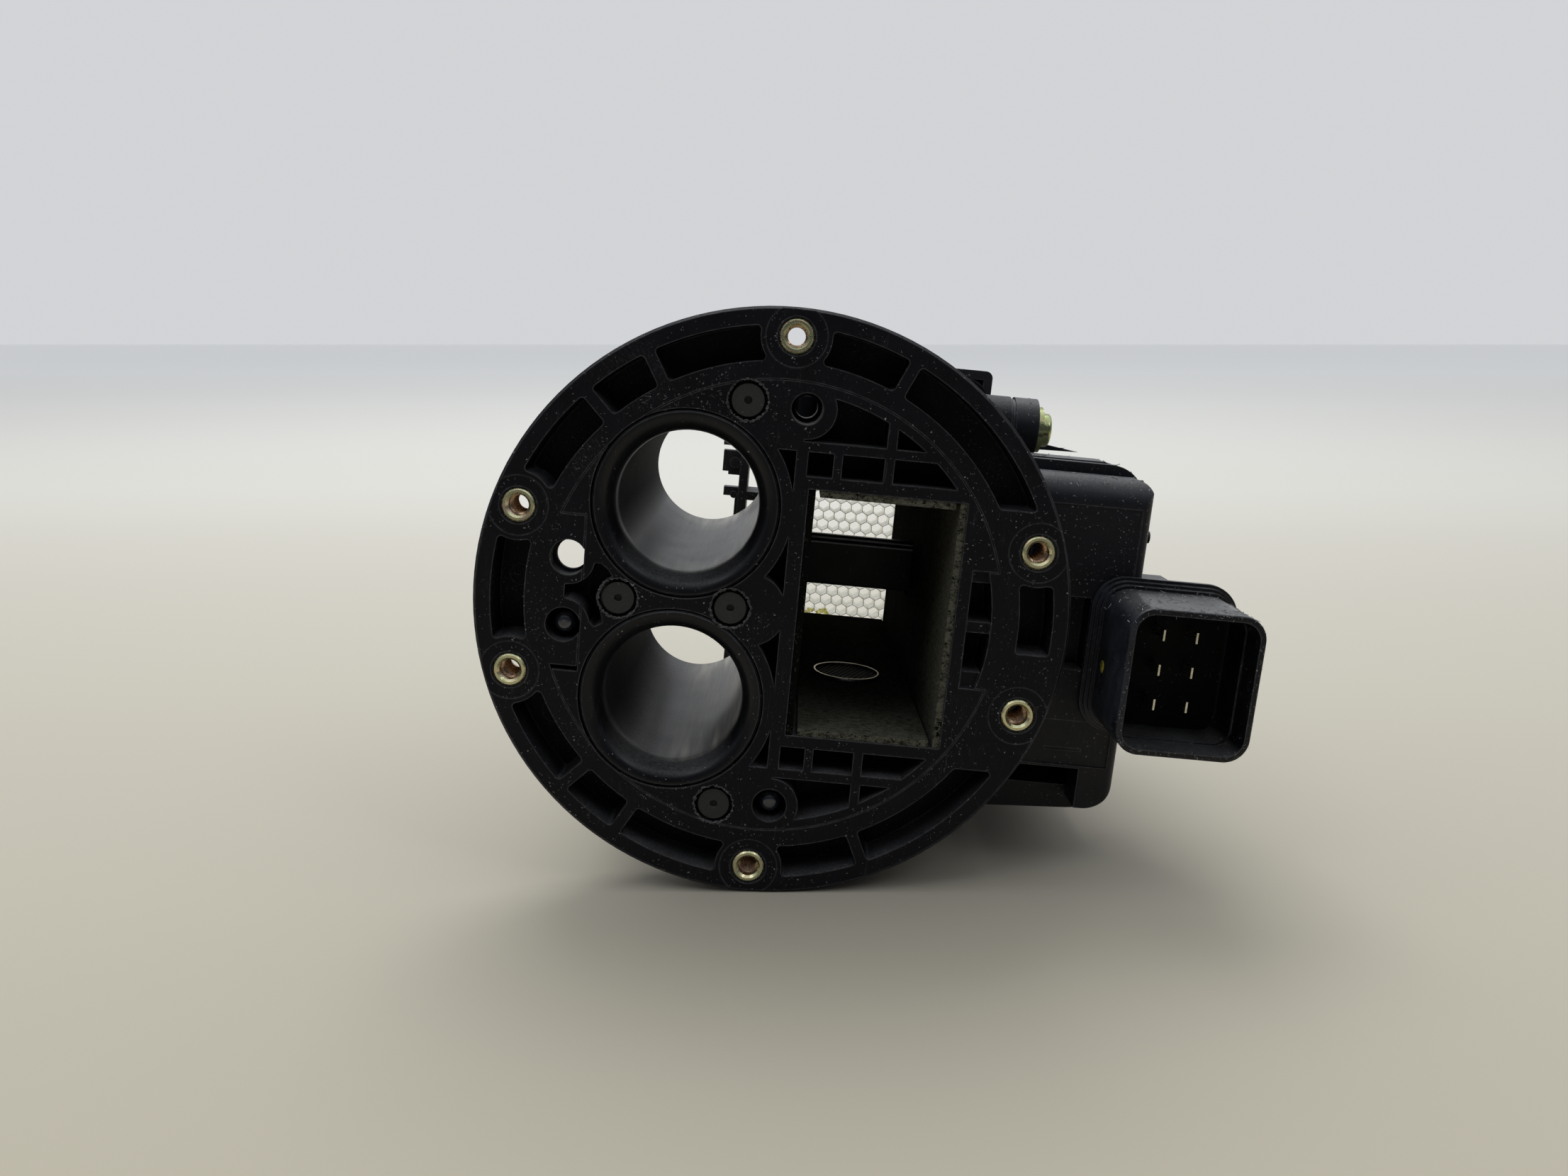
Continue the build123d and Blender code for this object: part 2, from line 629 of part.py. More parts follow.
# ================================================================ measuring body
with BuildPart() as measuring_body:
    # front plate with its notches for the ring's tongues, and the shoulder that the ring sits on
    with BuildSketch(station(0)):
        Circle(plate_radius - weld_gap)
        span_rectangle(-flange_radius, left_key_x + weld_gap, left_key_bottom - left_key_slot,
                       left_key_top + weld_gap, mode=Mode.SUBTRACT)
        span_rectangle(right_key_x - weld_gap, flange_radius, -right_key_half_height - weld_gap,
                       right_key_half_height + weld_gap, mode=Mode.SUBTRACT)
    extrude(amount=-plate_back)
    with BuildSketch(station(plate_back)):
        Circle(shoulder_radius)
    extrude(amount=-shoulder_thickness)
    # duct outside, leaning in on both sides
    for y in (plate_back, body_length):
        with BuildSketch(station(y)):
            duct_section(y, duct_left_wall, duct_wall, duct_wall)
    loft()
    # rear flange with a screw boss behind each corner
    with BuildSketch(station(body_length - rear_flange_thickness)):
        with Locations(frame_middle):
            RectangleRounded(frame_screw_x[1] - frame_screw_x[0] + 2 * rear_boss_radius,
                             frame_screw_z[1] - frame_screw_z[0] + 2 * rear_boss_radius, rear_flange_corner)
        span_rectangle(frame_left, honeycomb_left - frame_wall, -frame_window_half_height,
                       frame_window_half_height, mode=Mode.SUBTRACT)
    extrude(amount=-rear_flange_thickness)
    with BuildSketch(station(body_length - rear_boss_length)):
        with Locations(*frame_screw_places):
            Circle(rear_boss_radius)
    extrude(amount=-rear_boss_length)
    # side plate that carries the module, tied to the duct by a web along its top and bottom
    block(side_plate_left, side_plate_right, shoulder_back, body_length, side_plate_bottom, side_plate_top)
    for side in (1, -1):
        edge = side * duct_outer_height
        block(duct_right - duct_draft, side_plate_right, shoulder_back, body_length,
              min(edge, edge - side * side_web_thickness), max(edge, edge - side * side_web_thickness))
    for y, z in module_screw_places:
        side_cylinder(side_plate_left, side_boss_face - joint_groove, y, z, side_boss_radius)
        side_cylinder(side_plate_left, side_boss_face, y, z, side_boss_radius - joint_groove)
    y, z = module_screw_places[0]
    upper_boss_start = side_plate_left - upper_boss_length
    half_web = side_web_thickness / 2
    side_cylinder(upper_boss_start, side_plate_left, y, z, side_boss_radius)
    block(side_plate_left, side_plate_right, y - side_boss_radius, y + side_boss_radius, side_plate_top, z)
    block(duct_right - duct_draft, upper_boss_start, y - half_web, y + half_web, duct_half_height, z)
    # round chambers for the transducers, with two screw lugs each
    for side in (1, -1):
        with BuildSketch(Plane.XY.offset(side * duct_half_height)):
            with Locations((transducer_x, transducer_y)):
                Circle(chamber_radius)
            with Locations(*cap_screw_places):
                Circle(cap_lug_radius)
        extrude(amount=side * (chamber_end - duct_half_height))
    # everything hollow
    for y in (0, body_length):
        with BuildSketch(station(y)):
            duct_section(y)
    loft(mode=Mode.SUBTRACT)
    for side in (1, -1):
        with BuildSketch(Plane.XY.offset(side * duct_outer_height)):
            with Locations((transducer_x, transducer_y)):
                Circle(chamber_bore_radius)
        extrude(amount=side * chamber_height, mode=Mode.SUBTRACT)
        with BuildSketch(Plane.XY.offset(side * duct_half_height)):
            with Locations((transducer_x, transducer_y)):
                Circle(can_radius + can_hole_clearance)
        extrude(amount=side * duct_wall, mode=Mode.SUBTRACT)
        with BuildSketch(Plane.XY.offset(side * chamber_end)):
            with Locations(*cap_screw_places):
                Circle(cap_screw_radius)
        extrude(amount=-side * cap_screw_depth, mode=Mode.SUBTRACT)
    drilled(tube_places, flare_seat_radius, shoulder_back)
    for side in (1, -1):
        for x0, x1, z0, z1 in grid_pocket_sections(side):
            with BuildSketch(station(0)):
                Circle(grid_edge_radius)
                span_rectangle(x0, x1, z0, z1, mode=Mode.INTERSECT)
                with Locations(*tube_places):
                    Circle(tube_ring_radius, mode=Mode.SUBTRACT)
                with Locations((waist_boss_x, 0)):
                    Circle(waist_boss_radius, mode=Mode.SUBTRACT)
                with Locations(open_hole_places[1], dowel_places[1]):
                    Circle(corner_boss_radius, mode=Mode.SUBTRACT)
            extrude(amount=-grid_pocket_depth, mode=Mode.SUBTRACT)
    with BuildSketch(station(0)):
        corner_pocket_outline()
    extrude(amount=-grid_pocket_depth, mode=Mode.SUBTRACT)
    drilled(post_places, post_hole_radius, post_counterbore_depth)
    drilled(post_places, post_radius + post_clearance, shoulder_back)
    drilled([left_hollow_place], left_hollow_radius, shoulder_thickness, plate_back)
    drilled(open_hole_places[1:], open_hole_radius, grid_pocket_depth)
    drilled(open_hole_places[1:], pilot_hole_radius, shoulder_back)
    drilled(dowel_places[1:], dowel_hole_radius, plate_back)
    drilled(frame_screw_places, frame_thread_radius, frame_thread_depth, body_length - frame_thread_depth)
    for y, z in module_screw_places:
        side_cylinder(side_boss_face - screw_bore_depth, side_boss_face, y, z, screw_hole_radius,
                      mode=Mode.SUBTRACT)
    side_cylinder(side_plate_left, side_plate_right, wire_port_y, wire_port_z, wire_port_radius,
                  mode=Mode.SUBTRACT)
    # sockets for the ends of the vortex column
    with BuildSketch(side_view(duct_left - column_socket_depth + duct_lean(column_tail_y))):
        column_outline(column_clearance)
    extrude(amount=duct_right - duct_left - 2 * duct_lean(column_tail_y) + 2 * column_socket_depth,
            mode=Mode.SUBTRACT)
finish(measuring_body, "measuring_body")

# ================================================================ bypass tubes, their web and posts
with BuildPart() as bypass_tube_pair:
    with BuildSketch(station(web_front)):
        Circle(plate_radius)
        span_rectangle(-flange_radius, grid_left - web_edge_gap, -flange_radius, flange_radius,
                       mode=Mode.INTERSECT)
        with Locations(*tube_places):
            Circle(tube_bore_radius + tube_wall / 2, mode=Mode.SUBTRACT)
        with Locations(left_hollow_place):
            Circle(left_hollow_radius, mode=Mode.SUBTRACT)
    extrude(amount=-web_thickness)
    for x, z in tube_places:
        with BuildSketch(Plane(origin=(x, 0, z), x_dir=(1, 0, 0), z_dir=(0, 0, 1))):
            with BuildLine():
                bell = EllipticalCenterArc((flare_flat_radius, flare_depth), flare_width, flare_depth,
                                           start_angle=180, arc_size=90)
                Polyline(bell @ 1, (flare_radius - flare_edge, 0), (flare_radius, flare_edge),
                         (flare_radius, flare_rim_height), (tube_outer_radius, flare_taper_end),
                         (tube_outer_radius, tube_length - tube_end_chamfer),
                         (tube_outer_radius - tube_end_chamfer, tube_length), (tube_bore_radius, tube_length),
                         bell @ 0)
            make_face()
        revolve(axis=Axis((x, 0, z), (0, 1, 0)))
    with BuildSketch(station(post_top)):
        with Locations(*post_places):
            Circle(post_radius)
    extrude(amount=post_top - shoulder_back - web_thickness)
    drilled(post_places, post_dimple_radius, post_dimple_depth, post_top)
finish(bypass_tube_pair, "bypass_tube_pair")

with BuildPart() as locating_dowels:
    with BuildSketch(station(dowel_recess)):
        with Locations(*dowel_places):
            Circle(dowel_radius)
    extrude(amount=dowel_recess - plate_back)
    fillet(locating_dowels.edges().group_by(Axis.Y)[0], dowel_dome)
finish(locating_dowels, "locating_dowels")

# ================================================================ felt liners of the duct
for side, name in ((-1, "liner_left"), (1, "liner_right")):
    wall_front = duct_left if side < 0 else duct_right
    with BuildPart() as side_liner:
        with BuildSketch(Plane.XY.offset(-duct_half_height + bond_gap)):
            with BuildLine():
                Polyline((wall_front - side * bond_gap, liner_front_setback),
                         (wall_front - side * (bond_gap + liner_thickness), liner_front_setback),
                         (wall_front - side * (bond_gap + liner_thickness + duct_draft), liner_length),
                         (wall_front - side * (bond_gap + duct_draft), liner_length), close=True)
            make_face()
        extrude(amount=2 * (duct_half_height - bond_gap))
        with BuildSketch(side_view(min(wall_front, wall_front - side * 2 * duct_draft) - liner_thickness)):
            with Locations((column_middle_y, 0)):
                Rectangle(2 * (column_half_depth + liner_slot_clearance),
                          2 * (column_half_height + liner_slot_clearance))
        extrude(amount=2 * (duct_draft + liner_thickness), mode=Mode.SUBTRACT)
    finish(side_liner, name)

for side, name in ((1, "liner_top"), (-1, "liner_bottom")):
    inner_left = duct_left + liner_thickness + bond_gap
    inner_right = duct_right - liner_thickness - bond_gap
    with BuildPart() as flat_liner:
        with BuildSketch(Plane.XY.offset(side * (duct_half_height - bond_gap))):
            with BuildLine():
                Polyline((inner_left + floor_liner_front_gap, liner_front_setback),
                         (inner_right - floor_liner_front_gap, liner_front_setback),
                         (inner_right - duct_draft - floor_liner_side_gap, liner_length),
                         (inner_left + duct_draft + floor_liner_side_gap, liner_length), close=True)
            make_face()
            with Locations((transducer_x, transducer_y)):
                Circle(can_radius + can_hole_clearance, mode=Mode.SUBTRACT)
        extrude(amount=-side * liner_thickness)
    finish(flat_liner, name)

# ================================================================ vortex column
with BuildPart() as vortex_column:
    column_start = duct_left + duct_lean(column_tail_y) - column_socket_depth + column_clearance
    column_end = duct_right - duct_lean(column_tail_y) + column_socket_depth - column_clearance
    with BuildSketch(side_view(column_start)):
        column_outline()
    extrude(amount=column_end - column_start)
    fillet(vortex_column.edges().filter_by(Axis.X), column_edge_round)
finish(vortex_column, "vortex_column")

# ================================================================ ultrasonic transducers
for side, name in ((1, "receiver"), (-1, "transmitter")):
    face = side * (duct_half_height - liner_thickness - bond_gap - can_proud)
    with BuildPart() as can:
        with BuildSketch(Plane.XY.offset(face)):
            with Locations((transducer_x, transducer_y)):
                Circle(can_radius)
        extrude(amount=side * can_height)
        fillet(can.edges().group_by(Axis.Z)[0 if side > 0 else -1], can_edge_round)
        with BuildSketch(Plane.XY.offset(face)):
            with Locations((transducer_x, transducer_y)):
                Circle(can_radius - can_rim)
        extrude(amount=side * can_lip_depth, mode=Mode.SUBTRACT)
        with BuildSketch(Plane.XY.offset(face + side * can_height)):
            with Locations(*can_pin_places):
                Circle(can_pin_radius)
        extrude(amount=side * can_pin_length)
    finish(can, f"ultrasonic_{name}")
    with BuildPart() as mesh:
        with BuildSketch(Plane.XY.offset(face + side * can_lip_depth)):
            with Locations((transducer_x, transducer_y)):
                Circle(can_radius - can_rim - mesh_clearance)
        extrude(amount=-side * mesh_thickness)
    finish(mesh, f"{name}_mesh")
    with BuildPart() as grommet:
        with BuildSketch(Plane.XY.offset(side * duct_outer_height)):
            with Locations((transducer_x, transducer_y)):
                Circle(grommet_radius)
                Circle(can_radius + grommet_clearance, mode=Mode.SUBTRACT)
        extrude(amount=side * grommet_height)
    finish(grommet, f"{name}_grommet")
    with BuildPart() as cap:
        with BuildSketch(Plane.XY.offset(side * chamber_end)):
            with Locations((transducer_x, transducer_y)):
                Circle(chamber_radius)
            with Locations(*cap_screw_places):
                Circle(cap_lug_radius)
        extrude(amount=side * cap_thickness)
        with BuildSketch(Plane.XY.offset(side * chamber_end)):
            with Locations((transducer_x, transducer_y)):
                Circle(grommet_radius)
                Circle(grommet_radius - cap_plug_wall, mode=Mode.SUBTRACT)
        extrude(amount=-side * cap_plug_depth)
        with BuildSketch(Plane.XY.offset(side * chamber_end)):
            with Locations(*cap_screw_places):
                Circle(cap_screw_radius)
        extrude(amount=side * cap_thickness, mode=Mode.SUBTRACT)
    finish(cap, f"{name}_cap")

with BuildPart() as cap_screws:
    for side in (1, -1):
        with BuildSketch(Plane.XY.offset(side * (chamber_end + cap_thickness))):
            with Locations(*cap_screw_places):
                Circle(cap_screw_head_radius)
        extrude(amount=side * cap_screw_head_height)
        with BuildSketch(Plane.XY.offset(side * (chamber_end + cap_thickness))):
            with Locations(*cap_screw_places):
                Circle(cap_screw_radius - cap_screw_clearance)
        extrude(amount=-side * cap_screw_length)
finish(cap_screws, "cap_screws")

# ================================================================ inlet frame
with BuildPart() as inlet_frame:
    with BuildSketch(station(frame_start)):
        with Locations(frame_middle):
            RectangleRounded(frame_right - frame_left, 2 * frame_half_height, frame_corner)
    extrude(amount=-frame_depth)
    # pockets between the outer wall, the honeycomb box, the ribs and the screw bosses
    with BuildSketch(station(frame_start)):
        span_rectangle(frame_left + frame_wall, frame_right - frame_wall,
                       -frame_half_height + frame_wall, frame_half_height - frame_wall)
        span_rectangle(honeycomb_left - frame_wall, honeycomb_right + frame_wall,
                       -honeycomb_half_height - frame_wall, honeycomb_half_height + frame_wall,
                       mode=Mode.SUBTRACT)
        with Locations(*frame_screw_places):
            Circle(frame_boss_radius, mode=Mode.SUBTRACT)
        for x in frame_rib_x:
            span_rectangle(x - frame_rib / 2, x + frame_rib / 2, -frame_half_height, frame_half_height,
                           mode=Mode.SUBTRACT)
        for z in frame_rib_z:
            span_rectangle(frame_left, frame_right, z - frame_rib / 2, z + frame_rib / 2, mode=Mode.SUBTRACT)
    extrude(amount=frame_back - frame_depth, mode=Mode.SUBTRACT)
    # the left side is open right through between its ribs
    with BuildSketch(station(frame_start)):
        span_rectangle(frame_left + frame_wall, honeycomb_left - frame_wall, -frame_window_half_height,
                       frame_window_half_height)
        for z in frame_rib_z:
            span_rectangle(frame_left, honeycomb_left, z - frame_rib / 2, z + frame_rib / 2,
                           mode=Mode.SUBTRACT)
    extrude(amount=-frame_depth, mode=Mode.SUBTRACT)
    # duct opening, and the honeycomb's seat from the inlet side
    with BuildSketch(station(frame_start)):
        duct_section(frame_start)
    extrude(amount=-frame_depth, mode=Mode.SUBTRACT)
    with BuildSketch(station(honeycomb_start)):
        span_rectangle(honeycomb_left, honeycomb_right, -honeycomb_half_height, honeycomb_half_height)
    extrude(amount=honeycomb_start - frame_end, mode=Mode.SUBTRACT)
    # groove for the seal
    with BuildSketch(station(frame_start)):
        duct_section(frame_start, seal_offset, seal_offset, seal_offset)
        duct_section(frame_start, seal_inside, seal_inside, seal_inside, mode=Mode.SUBTRACT)
    extrude(amount=-seal_depth, mode=Mode.SUBTRACT)
    drilled(frame_screw_places, frame_screw_radius + frame_screw_clearance, frame_depth, frame_start)
    drilled(frame_screw_places, frame_screw_head_radius + frame_screw_clearance, frame_counterbore_depth,
            frame_end - frame_counterbore_depth)
    # latch ears on the left, above and below the middle
    for side in (1, -1):
        for reach, z0, z1 in ear_blocks:
            block(frame_left - reach, frame_left + ear_overlap, ear_start, ear_start + ear_depth,
                  min(side * z0, side * z1), max(side * z0, side * z1))
        for reach, z, radius in ear_bosses:
            with BuildSketch(station(ear_start - ear_boss_height)):
                with Locations((frame_left - reach, side * z)):
                    Circle(radius)
            extrude(amount=-ear_boss_height)
    # hole for the air temperature sensor
    drilled([(probe_x, probe_z)], probe_radius + probe_clearance, frame_depth, frame_start)
finish(inlet_frame, "inlet_frame")

with BuildPart() as frame_seal:
    with BuildSketch(station(frame_start)):
        outside = seal_offset - seal_slack
        inside = seal_offset - seal_width + seal_slack
        duct_section(frame_start, outside, outside, outside)
        duct_section(frame_start, inside, inside, inside, mode=Mode.SUBTRACT)
    extrude(amount=-seal_depth)
finish(frame_seal, "frame_seal")

with BuildPart() as frame_screws:
    head_seat = frame_end - frame_counterbore_depth
    with BuildSketch(station(head_seat)):
        with Locations(*frame_screw_places):
            Circle(frame_screw_head_radius)
    extrude(amount=-frame_screw_head_height)
    with BuildSketch(station(head_seat)):
        with Locations(*frame_screw_places):
            Circle(frame_screw_radius)
    extrude(amount=frame_screw_length)
finish(frame_screws, "frame_screws")

# ================================================================ honeycomb flow straightener
row_pitch = cell_pitch * math.sqrt(3) / 2
block_width = honeycomb_right - honeycomb_left - 2 * honeycomb_clearance
block_height = 2 * (honeycomb_half_height - honeycomb_clearance)
half_columns = math.ceil(block_width / 2 / cell_pitch)
half_rows = math.ceil(block_height / 2 / row_pitch)
block_middle = ((honeycomb_left + honeycomb_right) / 2, 0)
cell_places = [(block_middle[0] + (column + row % 2 / 2) * cell_pitch, row * row_pitch)
               for column in range(-half_columns, half_columns + 1)
               for row in range(-half_rows, half_rows + 1)]
with BuildPart() as honeycomb:
    with BuildSketch(station(honeycomb_start)):
        with Locations(block_middle):
            Rectangle(block_width, block_height)
    extrude(amount=-honeycomb_depth)
    with BuildSketch(station(honeycomb_start)):
        with Locations(*cell_places):
            RegularPolygon((cell_pitch - cell_wall) / math.sqrt(3), 6, rotation=cell_turn)
        with Locations(block_middle):
            Rectangle(block_width - 2 * honeycomb_border, block_height - 2 * honeycomb_border,
                      mode=Mode.INTERSECT)
    extrude(amount=-honeycomb_depth, mode=Mode.SUBTRACT)
finish(honeycomb, "honeycomb")

# ================================================================ air temperature sensor
with BuildPart() as air_temperature_sensor:
    probe_head_y = frame_end - frame_back - probe_head_height
    for start, length, radius in ((probe_head_y, probe_head_height, probe_head_radius),
                                  (probe_head_y - probe_tail, probe_tail + probe_length, probe_radius),
                                  (probe_head_y + probe_length, probe_tip_length, probe_tip_radius)):
        with BuildSketch(station(start)):
            with Locations((probe_x, probe_z)):
                Circle(radius)
        extrude(amount=-length)
finish(air_temperature_sensor, "air_temperature_sensor")

# ================================================================ electronics module: cover
with BuildPart() as module_cover:
    with BuildSketch(station(cover_front)):
        span_rectangle(module_left, cover_right, cover_bottom, cover_top)
        span_rectangle(cover_foot_left, cover_right, cover_foot_bottom, cover_bottom)
    extrude(amount=-cover_depth)
    fillet(lengthwise_edges(module_cover, cover_right, cover_top), cover_corner)
    fillet(lengthwise_edges(module_cover, cover_right, cover_foot_bottom), cover_foot_corner)
    # large round along the top of the front face, small round down its right side
    with BuildSketch(side_view(module_left)):
        with BuildLine():
            Polyline((cover_front, cover_foot_bottom), (cover_back, cover_foot_bottom),
                     (cover_back, cover_top), (cover_front + cover_top_round, cover_top))
            RadiusArc((cover_front + cover_top_round, cover_top), (cover_front, cover_top - cover_top_round),
                      -cover_top_round)
            Line((cover_front, cover_top - cover_top_round), (cover_front, cover_foot_bottom))
        make_face()
    extrude(amount=cover_right - module_left, mode=Mode.INTERSECT)
    with BuildSketch(Plane.XY.offset(cover_foot_bottom)):
        with BuildLine():
            Polyline((cover_right - cover_side_round, cover_front), (module_left, cover_front),
                     (module_left, cover_back), (cover_right, cover_back),
                     (cover_right, cover_front + cover_side_round))
            RadiusArc((cover_right, cover_front + cover_side_round),
                      (cover_right - cover_side_round, cover_front), cover_side_round)
        make_face()
    extrude(amount=cover_top - cover_foot_bottom, mode=Mode.INTERSECT)
    # sunk panel, its lower step and groove, and the deep slot beside the ring
    for depth, top in ((panel_depth, panel_top), (panel_step_depth, panel_step_z)):
        block(module_left + panel_left_margin, cover_right - panel_right_margin, cover_front,
              cover_front + depth, cover_bottom + panel_bottom_margin, top, mode=Mode.SUBTRACT)
    block(cover_foot_left - panel_groove_length, cover_foot_left, cover_front,
          cover_front + panel_groove_depth, panel_groove_z, panel_groove_z + panel_groove_width,
          mode=Mode.SUBTRACT)
    block(slot_left, slot_right, cover_front, cover_front + slot_depth, slot_bottom, slot_top,
          mode=Mode.SUBTRACT)
    # hollow behind the front wall, outside the slot
    with BuildSketch(station(cover_front + cover_wall)):
        span_rectangle(module_left + cover_wall, cover_right - cover_wall, cover_bottom + cover_wall,
                       cover_top - cover_top_round)
        span_rectangle(slot_left - cover_wall, cover_right, slot_bottom - cover_wall, slot_top + cover_wall,
                       mode=Mode.SUBTRACT)
    extrude(amount=cover_wall - cover_depth, mode=Mode.SUBTRACT)
    # way through for the connector's root
    block(root_hole_left, root_right, cover_front, cover_back, root_hole_bottom, root_hole_top,
          mode=Mode.SUBTRACT)
    side_cylinder(cover_right - cover_side_round, cover_right + nub_height, cover_front + cover_depth / 2,
                  nub_z, nub_radius)
finish(module_cover, "module_cover")

with BuildPart() as module_gasket:
    with BuildSketch(station(cover_back)):
        span_rectangle(module_left + gasket_inset, cover_right - gasket_inset, cover_bottom + gasket_inset,
                       cover_top - gasket_inset)
        span_rectangle(module_left + cover_wall, cover_right - cover_wall, cover_bottom + cover_wall,
                       cover_top - cover_wall, mode=Mode.SUBTRACT)
        span_rectangle(root_hole_left, cover_right, root_hole_bottom, root_hole_top, mode=Mode.SUBTRACT)
    extrude(amount=-gasket_thickness)
finish(module_gasket, "module_gasket")

# ================================================================ electronics module: case
with BuildPart() as module_case:
    with BuildSketch(station(case_start)):
        with BuildLine():
            Polyline((module_left, case_flange_bottom_left), (case_flange_right, case_flange_bottom_right),
                     (case_flange_right, case_flange_top), (module_left, case_flange_top), close=True)
        make_face()
    extrude(amount=-case_flange_depth)
    for z in (case_flange_bottom_right, case_flange_top):
        fillet(lengthwise_edges(module_case, case_flange_right, z), case_corner)
    with BuildSketch(station(case_body_start)):
        span_rectangle(module_left, case_right, case_bottom, case_top)
    extrude(amount=-case_depth)
    for z in (case_bottom, case_top):
        fillet(lengthwise_edges(module_case, case_right, z), case_corner - case_inset)
    with BuildSketch(station(case_body_start)):
        with Locations((module_left, case_top - case_wall)):
            RectangleRounded(2 * (step_right - module_left), 2 * (step_top - case_top + case_wall),
                             step_corner)
        span_rectangle(module_left, step_right, case_top - case_wall, step_top, mode=Mode.INTERSECT)
    extrude(amount=-step_depth)
    # wing behind the connector
    block(case_right - case_wall, wing_right, case_start, case_start + wing_depth, wing_bottom, wing_top)
    # screw ears: one on top, two behind
    for y, z in module_screw_places:
        side_cylinder(module_left + joint_groove, ear_face, y, z, ear_radius)
        side_cylinder(module_left, ear_face, y, z, ear_radius - joint_groove)
    y, z = module_screw_places[0]
    neck_right = ear_face - ear_neck_step
    for y_end, top in ((ear_fin_y + ear_fin_thickness, ear_fin_top), (y + ear_neck_half_width, z)):
        block(module_left, neck_right, y - ear_neck_half_width, y_end, case_top - case_wall, top)
    for y, z in module_screw_places[1:]:
        block(module_left, ear_face, case_end - case_wall, y, z - ear_radius, z + ear_radius)
    with BuildSketch(station(ear_fin_y)):
        with BuildLine():
            Polyline((module_left, ear_fin_bottom), (ear_face + ear_fin_length, ear_fin_tip_z),
                     (ear_face + ear_neck_step, ear_fin_top), (module_left, ear_fin_top), close=True)
        make_face()
    extrude(amount=-ear_fin_thickness)
    # cavities of case and wing, joined by a window for the terminals
    block(cavity_left, case_right - case_wall, case_start, case_end - case_wall, case_bottom + case_wall,
          case_top - case_wall, mode=Mode.SUBTRACT)
    block(case_right - 2 * case_wall, wing_right - wing_wall, case_start, case_start + wing_depth - wing_wall,
          wing_bottom + wing_wall, wing_top - wing_wall, mode=Mode.SUBTRACT)
    for y, z in board_screw_places:
        side_cylinder(cavity_left, board_x, y, z, board_boss_radius)
        side_cylinder(cavity_left, board_x, y, z, board_screw_radius, mode=Mode.SUBTRACT)
    for y, z in module_screw_places:
        side_cylinder(module_left, ear_face, y, z, ear_hole_radius, mode=Mode.SUBTRACT)
    side_cylinder(module_left, cavity_left, wire_port_y, wire_port_z, wire_port_radius, mode=Mode.SUBTRACT)
finish(module_case, "module_case")

with BuildPart() as port_grommet:
    for x0, x1, radius in ((side_plate_left, cavity_left, wire_port_radius - grommet_clearance),
                           (side_plate_right, module_left, wire_port_radius + port_flange)):
        side_cylinder(x0, x1, wire_port_y, wire_port_z, radius)
    side_cylinder(side_plate_left, cavity_left, wire_port_y, wire_port_z, port_bore_radius,
                  mode=Mode.SUBTRACT)
finish(port_grommet, "port_grommet")

# ================================================================ screws and washers of the module
with BuildPart() as module_washers:
    for y, z in module_screw_places:
        side_cylinder(ear_face, ear_face + washer_thickness, y, z, washer_radius)
        side_cylinder(ear_face, ear_face + washer_thickness, y, z, washer_hole_radius, mode=Mode.SUBTRACT)
finish(module_washers, "module_washers")

with BuildPart() as module_screws:
    head_start = ear_face + washer_thickness
    for y, z in module_screw_places:
        side_cylinder(head_start, head_start + screw_head_height, y, z, screw_head_radius)
    fillet(module_screws.edges().group_by(Axis.X)[-1], screw_head_round)
    for y, z in module_screw_places:
        side_cylinder(side_boss_face - screw_reach, head_start, y, z, screw_radius)
        with BuildSketch(side_view(head_start + screw_head_height - drive_slot_depth)):
            with Locations((y, z)):
                Rectangle(drive_slot_width, drive_length)
                Rectangle(drive_length, drive_slot_width)
        extrude(amount=drive_slot_depth, mode=Mode.SUBTRACT)
finish(module_screws, "module_screws")

# ================================================================ connector
with BuildPart() as connector_housing:
    with BuildSketch(station(connector_mouth_y)):
        with Locations((connector_x, connector_z)):
            RectangleRounded(connector_width, connector_height, connector_corner)
    extrude(amount=connector_mouth_y - connector_base_front)
    fillet(connector_housing.edges().group_by(Axis.Y)[0], connector_lip_round)
    # base flange, growing in thin steps towards the module
    step_depth_each = base_thickness / base_steps
    for step in range(base_steps):
        growth = base_step_growth * (step + 1)
        with BuildSketch(station(connector_base_front + step * step_depth_each)):
            with Locations((connector_x, connector_z)):
                RectangleRounded(connector_width + 2 * growth, connector_height + 2 * growth,
                                 connector_corner + growth)
        extrude(amount=-step_depth_each)
    with BuildSketch(station(cover_front)):
        with Locations((connector_x, connector_z)):
            Rectangle(2 * root_half_width, 2 * root_half_height)
    extrude(amount=cover_front - case_start)
    # socket in two stages
    for depth, ledge in ((connector_ledge_depth, 0.0), (connector_floor_depth, connector_ledge)):
        with BuildSketch(station(connector_mouth_y)):
            with Locations((connector_x, connector_z)):
                RectangleRounded(connector_width - 2 * (connector_wall + ledge),
                                 connector_height - 2 * (connector_wall + ledge),
                                 connector_corner - connector_wall - ledge)
        extrude(amount=-depth, mode=Mode.SUBTRACT)
    with BuildSketch(station(connector_mouth_y + connector_floor_depth)):
        with Locations(*terminal_places):
            Rectangle(terminal_thickness, terminal_height)
    extrude(amount=connector_mouth_y + connector_floor_depth - case_start, mode=Mode.SUBTRACT)
finish(connector_housing, "connector_housing")

